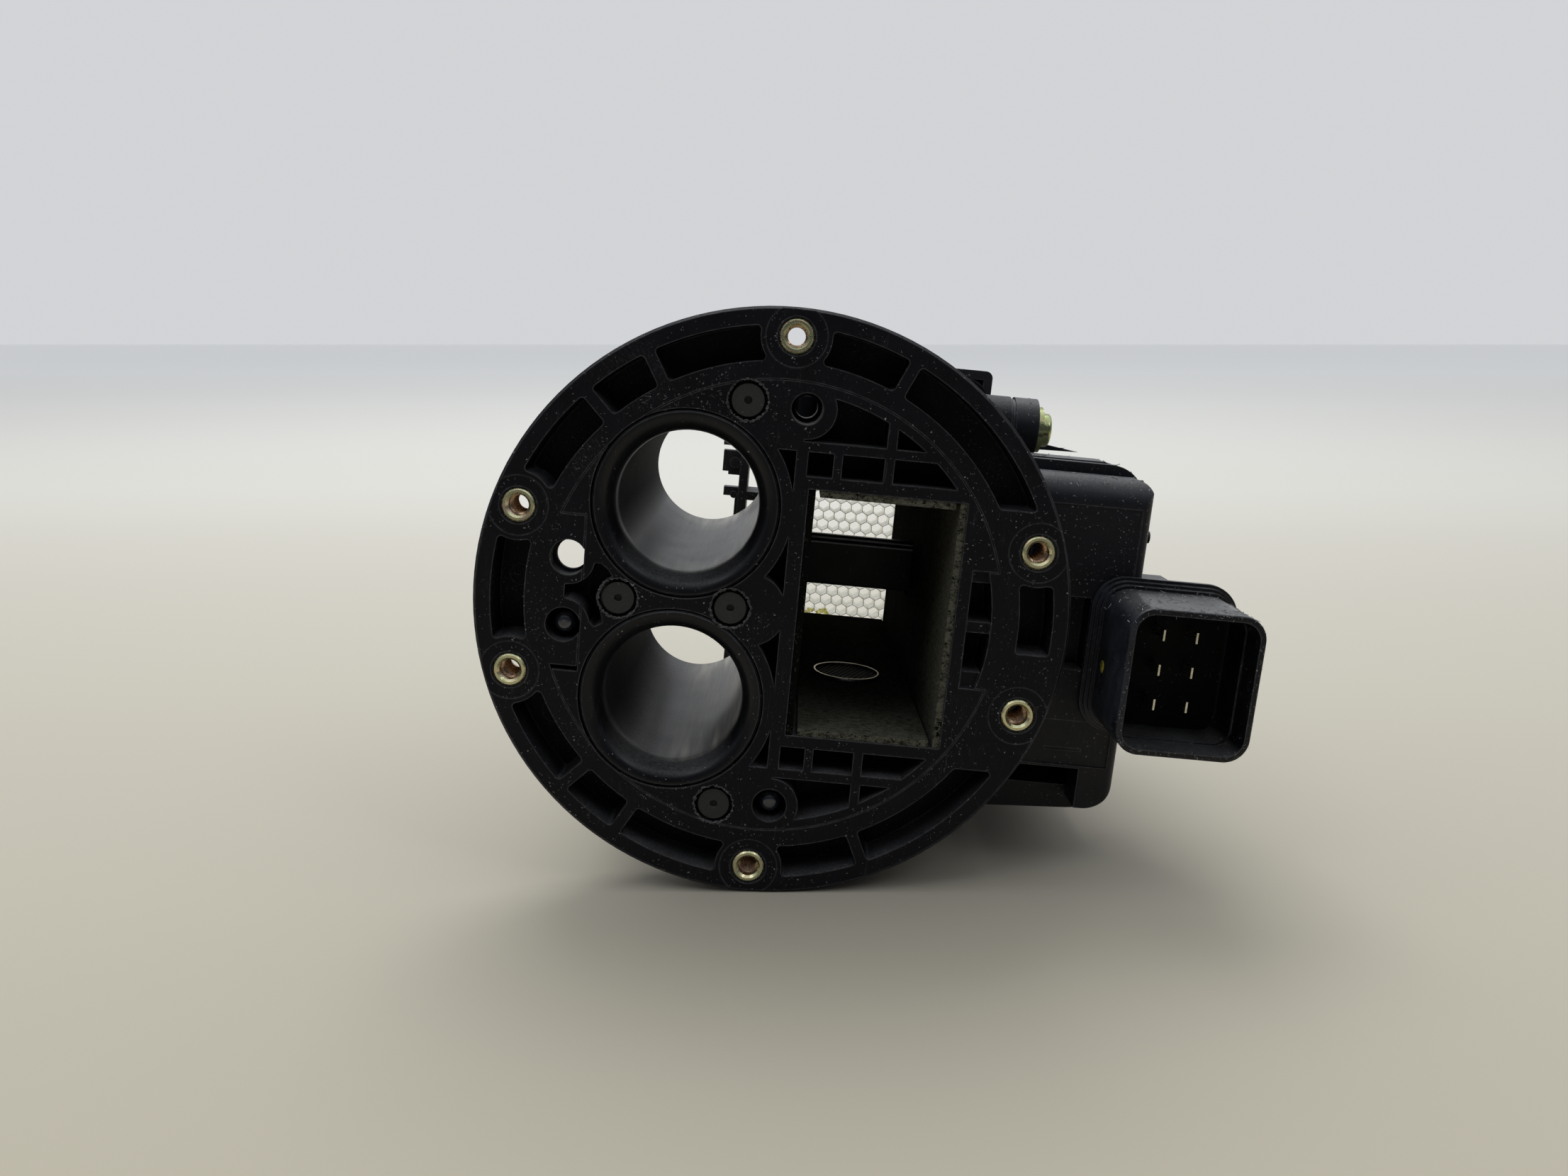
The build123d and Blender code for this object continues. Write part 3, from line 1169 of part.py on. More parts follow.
terminal_tip_y = connector_mouth_y + terminal_tip_depth
for number, (x, z) in enumerate(terminal_places, start=1):
    outer = x > connector_x
    bend_y = case_start + (outer_bend_depth if outer else inner_bend_depth)
    with BuildPart() as terminal:
        block(x - terminal_thickness / 2, x + terminal_thickness / 2, terminal_tip_y, bend_y,
              z - terminal_height / 2, z + terminal_height / 2)
        fillet(terminal.edges().filter_by(Axis.Z).group_by(Axis.Y)[0], terminal_thickness / 3)
        block(board_x - terminal_tail, x + terminal_thickness / 2, bend_y - terminal_thickness, bend_y,
              z - terminal_height / 2, z + terminal_height / 2)
    finish(terminal, f"terminal_{number}")

# ================================================================ circuit board and what stands on it
with BuildPart() as circuit_board:
    with BuildSketch(side_view(board_x)):
        span_rectangle(board_start_y, board_end_y, board_bottom, board_top)
        with Locations(*board_screw_places):
            Circle(board_screw_radius + board_hole_clearance, mode=Mode.SUBTRACT)
        for bend in (inner_bend_depth, outer_bend_depth):
            for dz in terminal_rows:
                with Locations((case_start + bend - terminal_thickness / 2, connector_z + dz)):
                    Rectangle(terminal_thickness + terminal_hole_clearance,
                              terminal_height + terminal_hole_clearance, mode=Mode.SUBTRACT)
    extrude(amount=board_thickness)
finish(circuit_board, "circuit_board")

with BuildPart() as board_screws:
    for y, z in board_screw_places:
        side_cylinder(board_back_x, board_back_x + board_screw_head_height, y, z, board_screw_head_radius)
        side_cylinder(cavity_left + board_screw_tip_gap, board_back_x, y, z,
                      board_screw_radius - board_screw_clearance)
finish(board_screws, "board_screws")

with BuildPart() as board_shield:
    with BuildSketch(side_view(board_back_x)):
        with Locations(shield_centre):
            Rectangle(*shield_size)
    extrude(amount=shield_height)
    with BuildSketch(side_view(board_back_x)):
        with Locations(shield_centre):
            Rectangle(shield_size[0] - 2 * shield_wall, shield_size[1] - 2 * shield_wall)
    extrude(amount=shield_height - shield_wall, mode=Mode.SUBTRACT)
finish(board_shield, "board_shield")

with BuildPart() as pressure_cell:
    y, z = pressure_cell_centre
    cell_top = board_back_x + pressure_cell_height
    side_cylinder(board_back_x, cell_top, y, z, pressure_cell_radius)
    side_cylinder(cell_top, cell_top + pressure_nipple_height, y, z, pressure_nipple_radius)
finish(pressure_cell, "pressure_cell")
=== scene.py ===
"""Looks of the mass airflow sensor: finishes, small pieces, floor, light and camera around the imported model.

Metres. +Y runs along the duct from the outlet flange to the inlet, +X towards the electronics module, +Z up.
"""

import json
import math
import random

import bpy
from mathutils import Matrix, Vector


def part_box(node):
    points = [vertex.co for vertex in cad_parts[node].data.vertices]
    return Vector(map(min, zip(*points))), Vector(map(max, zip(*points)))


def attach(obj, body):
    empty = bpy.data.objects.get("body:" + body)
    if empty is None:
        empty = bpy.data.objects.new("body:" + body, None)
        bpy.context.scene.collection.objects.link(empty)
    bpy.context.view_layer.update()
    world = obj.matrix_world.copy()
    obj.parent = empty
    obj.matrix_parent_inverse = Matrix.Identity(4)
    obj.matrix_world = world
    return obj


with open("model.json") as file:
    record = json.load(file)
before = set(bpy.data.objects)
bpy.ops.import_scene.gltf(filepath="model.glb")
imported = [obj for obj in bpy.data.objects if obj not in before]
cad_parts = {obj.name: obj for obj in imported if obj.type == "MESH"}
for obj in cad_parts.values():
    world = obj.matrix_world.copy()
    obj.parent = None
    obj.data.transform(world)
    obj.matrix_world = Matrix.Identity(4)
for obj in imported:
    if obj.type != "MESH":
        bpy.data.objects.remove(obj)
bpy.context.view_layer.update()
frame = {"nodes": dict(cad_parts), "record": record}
MM = 0.001


# ================================================================ sizes and places, millimetres
BOLT_CIRCLE = 54.5
INSERT_PLACES = [(BOLT_CIRCLE * math.cos(math.radians(angle)), BOLT_CIRCLE * math.sin(math.radians(angle)))
                 for angle in (18, 90, 162, 198, 270, 342)]
THREAD_PITCH = 0.8
THREAD_TURNS = 10
THREAD_STEPS = 24
THREAD_RIDGE = 0.22               # circumradius of the ridge's three-cornered section
THREAD_RADIUS = 2.02
THREAD_START = 2.0                # smooth lead-in of each insert

TUBE_PLACES = ((-18.85, 20.02), (-18.85, -20.02))
TUBE_BORE = 14.33                 # radius
TUBE_SHEENS = ((TUBE_PLACES[0], 0.75, -0.66, 0.15, 1.0),
              (TUBE_PLACES[1], 0.98, -0.20, 0.00, 0.45))     # middle, direction of the painted sheen (x, z), start, full
FLARE_SEAM_RADIUS = 18.73
FLARE_SEAM_DEPTH = 3.0
FLARE_SEAM_THICKNESS = 0.18

POST_PLACES = ((-8.3, 41.5), (-30.9, 0.0), (-8.3, 0.0), (-8.3, -41.5))
POST_HEAD_RADIUS = 3.4
FLASH_RADIUS = 4.05
FLASH_THICKNESS = 0.15
FLASH_ROUGHNESS = 0.26
FLASH_DEPTH = 0.02                # the ring's middle lies just behind the plate's face

RIM_POCKET_FLOOR = 9.0
EJECTOR_PLACES = ((-52.3, 1.3, 2.3), (-43.9, -27.3, 2.5), (-13.9, -48.5, 1.9))     # x, z, radius
EJECTOR_HEIGHT = 0.12
EJECTOR_SUNK = 0.01               # into the pocket's floor
SCUFFS = ((-38, 28, 7, 0.9), (-31, 45, 9, 0.6), (-34.5, -29, 5, -0.6), (-54, 0, 5, 1.4), (43, 33, 5, -0.9),
          (13, 52, 6, 0.2))       # x, z, radius, slant in radians

COLUMN_STEPS = ((5.12, 67.0), (5.88, 69.5))                   # height and depth of the steps that carry the painted highlights
LEFT_LINER_EDGE = (7.6, 6.9)      # its dark cut end fades out between these
SOCKET_LEFT = (72.0, 73.0)        # the painted shade inside the socket fades in between each of these pairs
SOCKET_RIGHT = (96.0, 95.0)
SOCKET_LOW = (-20.0, -19.0)
SOCKET_HIGH = (8.0, 7.0)
SOCKET_MOUTH = (-4.2, -1.5)

PAINT_DOT_START = (50.0, 10.2, -7.3)                          # left of the socket's side that carries it
PAINT_DOT_WIDTH = 2.70
PAINT_DOT_LENGTH = 2.97
PAINT_DOT_HEIGHT = 0.28
DAB_ROUGHNESS = 0.06              # of a grain one unit across
CRUMB_ROUGHNESS = 0.22
CRUMBS_EACH = 4
CRUMB_PLACES = ((10.9, -23.5, 1.1), (12.2, -23.4, 1.0), (14.0, -23.7, 1.2), (15.3, -23.2, 1.5),
                (16.7, -23.7, 1.3))                           # x, z, size

FIBRE_FORMS = (((0, 14, 18, 20, 12, 6), 0.05, 0.10), ((0, -20, -26, 8, 24, 20), 0.09, 0.09),
               ((0, 8, -10, 12, -8, 4), 0.03, 0.11), ((0, 34, 38, 30, 22, 18), 0.06, 0.09))   # turns, rise, thickness
FIBRE_LIFT = 0.02
FELT_LEAN = 1.2                   # radians that a fibre at the felt's edge may stand up
SOCKET, MODULE, FACE = ["connector_housing"], ["module_cover", "module_case"], ["outlet_flange", "measuring_body"]
BEFORE = (-20, -20)               # y in front of everything
ABOVE_SOCKET = (40, 40)           # z
ABOVE_MODULE = (60, 60)
ANY_DEPTH, FACE_DEPTH, RIM_DEPTH = 99.0, 1.0, -1.0            # largest y at which a fibre may lie
TO_BACK, DOWN, TO_RIGHT = (0, 1, 0), (0, 0, -1), (1, 0, 0)

# ================================================================ camera and stage
FOCAL_SHARE = 1760 / 2212         # focal length as a share of the frame's width
SENSOR_WIDTH = 36.0
CAMERA_PLACE = (-0.845, -244.755, 51.741)
CAMERA_YAW = 0.331                # degrees, like the two below
CAMERA_PITCH = 10.790
CAMERA_ROLL = 5.287
FLOOR_SLOPE_X = 0.0926            # the sensor lies on its rim and on one corner of the inlet frame
FLOOR_SLOPE_Y = 0.032
FLOOR_HEIGHT = -60.30
FLOOR_SIZE = 12000.0
WALL_DISTANCE = 4100.0
FLOOR_TONE = (0.465, 0.425, 0.330, 1)
# y in metres over which the floor's tone changes, and the tone beyond; the change is painted fall-off of light, the
# floor lighter further back
FLOOR_FURTHER = (((-0.10, 0.60), (0.62, 0.60, 0.535, 1)), ((0.4, 2.2), (0.78, 0.78, 0.76, 1)))
# painted shade on the floor in front of the sensor, darkest nearest the camera
FLOOR_FRONT_SHADE = ((-0.45, -0.10), (0.22, 0.208, 0.18, 1))
WALL_GLOW = (0.645, 0.655, 0.675, 1)
WALL_COLOUR = (0.66, 0.67, 0.68, 1)
SKY_DIRECTION = (-0.10, 0.55, 0.83)
SKY_SPAN = (-0.05, 0.85)          # cosine where the bright part of the sky begins and is full
SKY_FRONT = (0.064, 0.070, 0.092, 1)
SKY_TOP = (1.08, 1.11, 1.16, 1)
# name, place, target, size, watts, colour
SOFTBOXES = (("high_back", (-250, 700, 1300), (0, 60, 0), (1000, 700), 10, (0.98, 0.99, 1)),
             ("front_left", (-520, -520, 720), (-10, 0, 0), (260, 260), 0.6, (0.90, 0.95, 1.0)),
             ("front_right", (480, -540, 740), (0, 0, 0), (220, 260), 0.6, (0.90, 0.95, 1.0)))


# ================================================================ node helpers
def add_node(tree, kind, inputs=None, **settings):
    """New node with its settings and the values or links of its inputs."""
    node = tree.nodes.new(kind)
    for name, value in settings.items():
        setattr(node, name, value)
    for name, value in (inputs or {}).items():
        if isinstance(value, bpy.types.NodeSocket):
            tree.links.new(value, node.inputs[name])
        else:
            node.inputs[name].default_value = value
    return node


def math_node(tree, operation, first, second=0.0):
    """Result of one operation on two values."""
    return add_node(tree, "ShaderNodeMath", {0: first, 1: second}, operation=operation).outputs[0]


def ramp(tree, value, low, high, to_low=0.0, to_high=1.0):
    """Value mapped from low..high to to_low..to_high, clamped."""
    node = add_node(tree, "ShaderNodeMapRange", {"Value": value, "From Min": low, "From Max": high,
                                                 "To Min": to_low, "To Max": to_high})
    return node.outputs["Result"]


def mix_colour(tree, factor, first, second, blend="MIX"):
    """Colour that goes from the first to the second with the factor."""
    node = add_node(tree, "ShaderNodeMix", {0: factor, 6: first, 7: second}, data_type="RGBA", blend_type=blend)
    return node.outputs[2]


def new_group(name, inputs, outputs=("Mask",)):
    """Empty shader group with float sockets: inputs as (name, default), outputs as names."""
    tree = bpy.data.node_groups.new(name, "ShaderNodeTree")
    for socket_name, default in inputs:
        socket = tree.interface.new_socket(name=socket_name, in_out="INPUT", socket_type="NodeSocketFloat")
        socket.default_value = default
    for socket_name in outputs:
        tree.interface.new_socket(name=socket_name, in_out="OUTPUT", socket_type="NodeSocketFloat")
    return tree, tree.nodes.new("NodeGroupInput").outputs, tree.nodes.new("NodeGroupOutput").inputs


def use_group(tree, group, **values):
    """Group node with the given values; size sets the socket Size, and so on."""
    node = tree.nodes.new("ShaderNodeGroup")
    node.node_tree = group
    for name, value in values.items():
        socket = node.inputs[name.capitalize()]
        if isinstance(value, bpy.types.NodeSocket):
            tree.links.new(value, socket)
        else:
            socket.default_value = value
    return node


def object_point(tree, scale=(1, 1, 1), turn=(0, 0, 0)):
    """Object coordinates in millimetres, scaled and turned."""
    place = tree.nodes.new("ShaderNodeTexCoord").outputs["Object"]
    size = tuple(s / MM for s in scale)
    return add_node(tree, "ShaderNodeMapping", {"Vector": place, "Scale": size,
                                                "Rotation": tuple(math.radians(a) for a in turn)}).outputs[0]


def place_axes(tree):
    """Sockets X, Y and Z of the place on the sensor, in millimetres."""
    return add_node(tree, "ShaderNodeSeparateXYZ", {"Vector": object_point(tree)}).outputs


def distance_from(tree, axes, x, z):
    """Distance across the front face from one place, in millimetres."""
    flat = add_node(tree, "ShaderNodeCombineXYZ", {"X": math_node(tree, "SUBTRACT", axes["X"], x),
                                                   "Y": math_node(tree, "SUBTRACT", axes["Z"], z)})
    return add_node(tree, "ShaderNodeVectorMath", {0: flat.outputs[0]}, operation="LENGTH").outputs["Value"]


def noise_value(tree, place, scale, detail=2.0, roughness=0.5):
    """Smooth noise from 0 to 1."""
    return add_node(tree, "ShaderNodeTexNoise", {"Vector": place, "Scale": scale, "Detail": detail,
                                                 "Roughness": roughness}).outputs["Fac"]


def product(tree, *values):
    """All the values multiplied."""
    result = values[0]
    for value in values[1:]:
        result = math_node(tree, "MULTIPLY", result, value)
    return result


# ================================================================ shared effects
def build_edge_wear():
    """Mask of the thin burnished line along outer edges, broken up by noise."""
    tree, given, out = new_group("edge_wear", (("Width", 0.3), ("Breakup", 0.5)))
    width = math_node(tree, "MULTIPLY", given["Width"], MM)
    bevel = add_node(tree, "ShaderNodeBevel", {"Radius": width}, samples=6)
    geometry = tree.nodes.new("ShaderNodeNewGeometry")
    dot = add_node(tree, "ShaderNodeVectorMath", {0: bevel.outputs[0], 1: geometry.outputs["Normal"]},
                   operation="DOT_PRODUCT").outputs["Value"]
    edge = ramp(tree, dot, 0.998, 0.90)
    patchy = ramp(tree, noise_value(tree, object_point(tree), 0.55, 3.0), 0.38, 0.62)
    lost = product(tree, given["Breakup"], math_node(tree, "SUBTRACT", 1.0, patchy))
    tree.links.new(product(tree, edge, math_node(tree, "SUBTRACT", 1.0, lost)), out["Mask"])
    return tree


def build_dust_specks():
    """Mask of small light dust specks of uneven size, gathered in patches."""
    tree, given, out = new_group("dust_specks", (("Spacing", 1.0), ("Size", 0.1), ("Amount", 0.5)))
    place = object_point(tree)
    wobble = add_node(tree, "ShaderNodeTexNoise", {"Vector": place, "Scale": 3.0, "Detail": 2.0})
    moved = add_node(tree, "ShaderNodeVectorMath", {0: place, 1: wobble.outputs["Color"]}, operation="ADD").outputs[0]
    frequency = math_node(tree, "DIVIDE", 1.0, given["Spacing"])
    cells = add_node(tree, "ShaderNodeTexVoronoi", {"Vector": moved, "Scale": frequency}, feature="F1").outputs
    lot = add_node(tree, "ShaderNodeSeparateColor", {"Color": cells["Color"]}).outputs
    size = product(tree, given["Size"], ramp(tree, lot["Red"], 0.0, 1.0, 0.4, 1.7))
    near = ramp(tree, math_node(tree, "DIVIDE", cells["Distance"], size), 1.1, 0.7)
    patch = noise_value(tree, place, 0.09, 3.0)
    amount = product(tree, given["Amount"], ramp(tree, patch, 0.38, 0.62, 0.25, 1.6))
    chosen = math_node(tree, "LESS_THAN", lot["Green"], amount)
    shade = ramp(tree, lot["Blue"], 0.0, 1.0, 0.25, 1.0)
    tree.links.new(product(tree, near, chosen, shade), out["Mask"])
    return tree


def build_scratches():
    """Mask of fine straight scratches in two directions."""
    tree, given, out = new_group("fine_scratches", (("Amount", 0.5),))
    total = None
    for turn, stretch in (((20, 35, 12), 0.05), ((-30, 15, 70), 0.035)):
        noise = noise_value(tree, object_point(tree, scale=(1.0, stretch, stretch), turn=turn), 2.6, 1.0)
        line = ramp(tree, math_node(tree, "ABSOLUTE", math_node(tree, "SUBTRACT", noise, 0.5)), 0.006, 0.0)
        gate = noise_value(tree, object_point(tree, turn=turn), 0.11)
        line = product(tree, line, ramp(tree, gate, 0.52, 0.66))
        total = line if total is None else math_node(tree, "MAXIMUM", total, line)
    tree.links.new(product(tree, total, given["Amount"]), out["Mask"])
    return tree


def build_moulded_grain():
    """Height of a fine moulded skin with soft larger unevenness."""
    tree, given, out = new_group("moulded_grain", (("Fine", 1.0), ("Broad", 0.3)), ("Height", "Tone"))
    place = object_point(tree)
    fine = noise_value(tree, place, 5.0, 4.0, 0.6)
    broad = noise_value(tree, place, 0.13, 3.0)
    height = math_node(tree, "ADD", product(tree, fine, given["Fine"]), product(tree, broad, given["Broad"]))
    tree.links.new(height, out["Height"])
    tree.links.new(broad, out["Tone"])
    return tree


def build_settled_dust():
    """Mask of dust that lies on faces turned upwards, thicker in patches."""
    tree, given, out = new_group("settled_dust", (("Amount", 0.5),))
    normal = tree.nodes.new("ShaderNodeNewGeometry").outputs["Normal"]
    up = add_node(tree, "ShaderNodeSeparateXYZ", {"Vector": normal}).outputs["Z"]
    fine = noise_value(tree, object_point(tree), 2.2, 5.0, 0.75)
    broad = noise_value(tree, object_point(tree), 0.06, 3.0)
    patch = math_node(tree, "ADD", product(tree, fine, 0.7), product(tree, broad, 0.3))
    mask = product(tree, ramp(tree, up, 0.45, 0.98), ramp(tree, patch, 0.34, 0.72))
    tree.links.new(product(tree, mask, given["Amount"]), out["Mask"])
    return tree


def build_scuff_patch():
    """Mask of a rubbed patch round one place of the front face: short streaks that fade outwards."""
    tree, given, out = new_group("scuff_patch", (("Across", 0.0), ("Up", 0.0), ("Radius", 5.0), ("Slant", 0.5)))
    axes = place_axes(tree)
    flat = add_node(tree, "ShaderNodeCombineXYZ", {
        "X": math_node(tree, "SUBTRACT", axes["X"], given["Across"]),
        "Y": math_node(tree, "SUBTRACT", axes["Z"], given["Up"])}).outputs[0]
    distance = add_node(tree, "ShaderNodeVectorMath", {0: flat}, operation="LENGTH").outputs["Value"]
    near = ramp(tree, math_node(tree, "DIVIDE", distance, given["Radius"]), 1.0, 0.35)
    turned = add_node(tree, "ShaderNodeVectorRotate", {"Vector": flat, "Angle": given["Slant"]},
                      rotation_type="Z_AXIS").outputs[0]
    drawn = add_node(tree, "ShaderNodeMapping", {"Vector": turned, "Scale": (0.5, 3.4, 1.0)}).outputs[0]
    streaks = noise_value(tree, drawn, 1.5, 4.0, 0.7)
    tree.links.new(product(tree, near, ramp(tree, streaks, 0.53, 0.68)), out["Mask"])
    return tree


EDGE_WEAR = build_edge_wear()
DUST_SPECKS = build_dust_specks()
SCRATCHES = build_scratches()
MOULDED_GRAIN = build_moulded_grain()
SETTLED_DUST = build_settled_dust()
SCUFF_PATCH = build_scuff_patch()


# ================================================================ finishes
TONE_SPAN = (0.3, 0.7)            # of the moulded skin's slow noise
SPECK_SPACING, SPECK_SIZE = 0.62, 0.15
LARGE_SPACING, LARGE_SIZE = 1.922, 0.055                      # the larger specks, further apart
SETTLED_AMOUNT = 0.34
SCUFF_STRENGTH = 0.55
BEHIND_FACE = (1.0, 4.0)          # y over which the dust thins out behind the front face
POST_HEAD_END = (4.0, 3.0)        # y behind which a post's head ends
TUBE_START = (2.0, 9.0)           # y over which a tube's painted sheen, matt side and pits begin behind its mouth
MATT_ROUGHNESS = 0.75
DUSTY_ROUGHNESS = 0.9
DUST_GREY = (0.42, 0.42, 0.41, 1)
WORN_GREY = (0.095, 0.094, 0.102, 1)
HEAD_GREYS = ((0.026, 0.026, 0.024, 1), (0.052, 0.052, 0.048, 1))
# pale colour of the painted sheen inside the tubes
TUBE_SHEEN = (0.42, 0.395, 0.33, 1)
PIT_BLACK = (0.002, 0.002, 0.002, 1)
COLUMN_SHINE = (0.75, 0.75, 0.77, 1)
# blue-grey of the lighter patches on the socket's left side, and black of the painted shade inside the socket
SOCKET_LEFT_TINT = (0.040, 0.046, 0.060, 1)
SOCKET_SHADE_BLACK = (0.0012, 0.0012, 0.0016, 1)
FELT_DARK, FELT_LIGHT = (0.0030, 0.0030, 0.0020, 1), (0.085, 0.083, 0.058, 1)
FELT_CLOUD = (0.020, 0.020, 0.014, 1)
FELT_SPECK = (0.14, 0.13, 0.10, 1)
FELT_WORN = (0.150, 0.146, 0.112, 1)
FELT_CUT = (0.0035, 0.0035, 0.0030, 1)
RUST_STAIN = (0.12, 0.045, 0.018, 1)
BORE_RUST = (0.30, 0.15, 0.095, 1)
WIRE_GAP, WIRE_TOP = (0.002, 0.002, 0.002, 1), (0.22, 0.205, 0.185, 1)
FOIL_BRIGHT, FOIL_DULL = (0.90, 0.88, 0.74, 1), (0.80, 0.77, 0.60, 1)
PLATING_STOPS = (0.30, 0.70)      # of the noise, where the first and last colour stand


def new_material(name):
    """Material with a bare Principled shader; gives material, tree and shader inputs."""
    material = bpy.data.materials.new(name)
    material.use_nodes = True
    tree = material.node_tree
    tree.nodes.clear()
    shader = tree.nodes.new("ShaderNodeBsdfPrincipled")
    output = tree.nodes.new("ShaderNodeOutputMaterial")
    tree.links.new(shader.outputs[0], output.inputs["Surface"])
    return material, tree, shader.inputs


def set_bump(tree, shader, height, distance):
    """Unevenness of a surface; distance is the depth in millimetres of one unit of height."""
    bump = add_node(tree, "ShaderNodeBump", {"Height": height, "Distance": distance * MM})
    tree.links.new(bump.outputs[0], shader["Normal"])


def black_plastic(name, colour, roughness=(0.42, 0.62), grain=0.05, edge=0.9, edge_width=0.45, dust=0.45,
                  scratch=0.5, specular=0.4, scuffs=(), touch=None, clean_behind=False, edge_colour=WORN_GREY):
    """Black plastic: uneven gloss, burnished edges, dust, rubbed patches and fine scratches.

    touch paints one piece's own marks, painted sheen, highlights and shade among them, and says where they are matt;
    clean_behind leaves little dust behind the face.
    """
    material, tree, shader = new_material(name)
    skin = use_group(tree, MOULDED_GRAIN, fine=1.0, broad=0.4).outputs
    wear = use_group(tree, EDGE_WEAR, width=edge_width, breakup=0.55).outputs["Mask"]
    specks = use_group(tree, DUST_SPECKS, spacing=SPECK_SPACING, size=SPECK_SIZE, amount=dust).outputs["Mask"]
    large = use_group(tree, DUST_SPECKS, spacing=LARGE_SPACING, size=LARGE_SIZE, amount=dust * 0.7).outputs["Mask"]
    lines = use_group(tree, SCRATCHES, amount=scratch).outputs["Mask"]
    settled_dust = use_group(tree, SETTLED_DUST, amount=SETTLED_AMOUNT).outputs["Mask"]
    tone = ramp(tree, skin["Tone"], *TONE_SPAN, 0.75, 1.3)
    grey = add_node(tree, "ShaderNodeCombineColor", {"Red": tone, "Green": tone, "Blue": tone}).outputs[0]
    base = mix_colour(tree, 1.0, (*colour, 1), grey, "MULTIPLY")
    base = mix_colour(tree, product(tree, wear, edge), base, edge_colour)
    base = mix_colour(tree, lines, base, edge_colour)
    for across, up, radius, slant in scuffs:
        rubbed = use_group(tree, SCUFF_PATCH, across=across, up=up, radius=radius, slant=slant).outputs["Mask"]
        base = mix_colour(tree, product(tree, rubbed, SCUFF_STRENGTH), base, edge_colour)
    matt = 0.0
    if touch:
        base, matt = touch(tree, base)
    dusty = math_node(tree, "MAXIMUM", specks, large)
    if clean_behind:
        dusty = product(tree, dusty, ramp(tree, place_axes(tree)["Y"], *BEHIND_FACE, 1.0, 0.3))
    dusty = math_node(tree, "MAXIMUM", dusty, settled_dust)
    tree.links.new(mix_colour(tree, dusty, base, DUST_GREY), shader["Base Color"])
    gloss = ramp(tree, skin["Tone"], *TONE_SPAN, *roughness)
    gloss = math_node(tree, "MAXIMUM", gloss, product(tree, matt, MATT_ROUGHNESS))
    gloss = math_node(tree, "MAXIMUM", gloss, product(tree, dusty, DUSTY_ROUGHNESS))
    tree.links.new(gloss, shader["Roughness"])
    shader["Specular IOR Level"].default_value = specular
    set_bump(tree, shader, math_node(tree, "ADD", skin["Height"], dusty), grain)
    return material


def post_heads_and_tube_sheen(tree, base):
    """Matt grey heads of the staked posts, and a painted sheen low inside the tubes that stands in for reflected
    light.
    """
    axes = place_axes(tree)
    heads = None
    for x, z in POST_PLACES:
        head = math_node(tree, "LESS_THAN", distance_from(tree, axes, x, z), POST_HEAD_RADIUS)
        heads = head if heads is None else math_node(tree, "MAXIMUM", heads, head)
    heads = product(tree, heads, ramp(tree, axes["Y"], *POST_HEAD_END))
    speckle = noise_value(tree, object_point(tree), 6.0, 3.0)
    base = mix_colour(tree, heads, base, mix_colour(tree, ramp(tree, speckle, 0.35, 0.65), *HEAD_GREYS))
    streaks = noise_value(tree, object_point(tree, scale=(1.0, 0.06, 1.0)), 0.5, 4.0)
    streaky = ramp(tree, streaks, 0.40, 0.62, 0.35, 1.0)
    inside = ramp(tree, axes["Y"], *TUBE_START)
    matt = heads
    for (x, z), across, up, start, full in TUBE_SHEENS:
        near = math_node(tree, "LESS_THAN", distance_from(tree, axes, x, z), TUBE_BORE + 0.2)
        side = math_node(tree, "ADD", product(tree, math_node(tree, "SUBTRACT", axes["X"], x), across),
                         product(tree, math_node(tree, "SUBTRACT", axes["Z"], z), up))
        side = math_node(tree, "DIVIDE", side, TUBE_BORE)
        bare = ramp(tree, side, start + 0.15, start - 0.75)
        matt = math_node(tree, "MAXIMUM", matt, product(tree, bare, near, inside))
        # painted sheen: a pale streaky patch on one side of each bore, lower right in the upper tube and right in the
        # lower, stands in for reflected light
        film_and_sheen = product(tree, ramp(tree, side, start, full), streaky, near, inside, 0.9)
        base = mix_colour(tree, film_and_sheen, base, TUBE_SHEEN)
    pits = use_group(tree, DUST_SPECKS, spacing=1.1, size=0.10, amount=0.22).outputs["Mask"]
    return mix_colour(tree, product(tree, pits, inside), base, PIT_BLACK), matt


def column_glints(tree, base):
    """Two thin painted highlights along the upper steps of the column, standing in for glancing reflections on their
    edges.
    """
    axes = place_axes(tree)
    lines = None
    for height, depth in COLUMN_STEPS:
        line = ramp(tree, math_node(tree, "ABSOLUTE", math_node(tree, "SUBTRACT", axes["Z"], height)), 0.26, 0.14)
        line = product(tree, line, ramp(tree, axes["Y"], depth + 0.4, depth + 0.2))
        lines = line if lines is None else math_node(tree, "MAXIMUM", lines, line)
    return mix_colour(tree, lines, base, COLUMN_SHINE), 0.0


def socket_shade(tree, base):
    """Painted shade that darkens the inside of the socket, and lighter blue-grey clouded patches on its left side."""
    axes = place_axes(tree)
    cloud = noise_value(tree, object_point(tree, scale=(1, 0.6, 0.35)), 0.35, 5.0, 0.7)
    left_tint = product(tree, ramp(tree, axes["X"], 72.5, 70.6), ramp(tree, cloud, 0.38, 0.66, 0.15, 0.75))
    base = mix_colour(tree, left_tint, base, SOCKET_LEFT_TINT)
    # painted shade: the inside of the socket is darkened and made matt
    socket_inside_shade = product(tree, ramp(tree, axes["Y"], *SOCKET_MOUTH), ramp(tree, axes["X"], *SOCKET_LEFT),
                   ramp(tree, axes["X"], *SOCKET_RIGHT), ramp(tree, axes["Z"], *SOCKET_LOW),
                   ramp(tree, axes["Z"], *SOCKET_HIGH))
    return mix_colour(tree, socket_inside_shade, base, SOCKET_SHADE_BLACK), socket_inside_shade


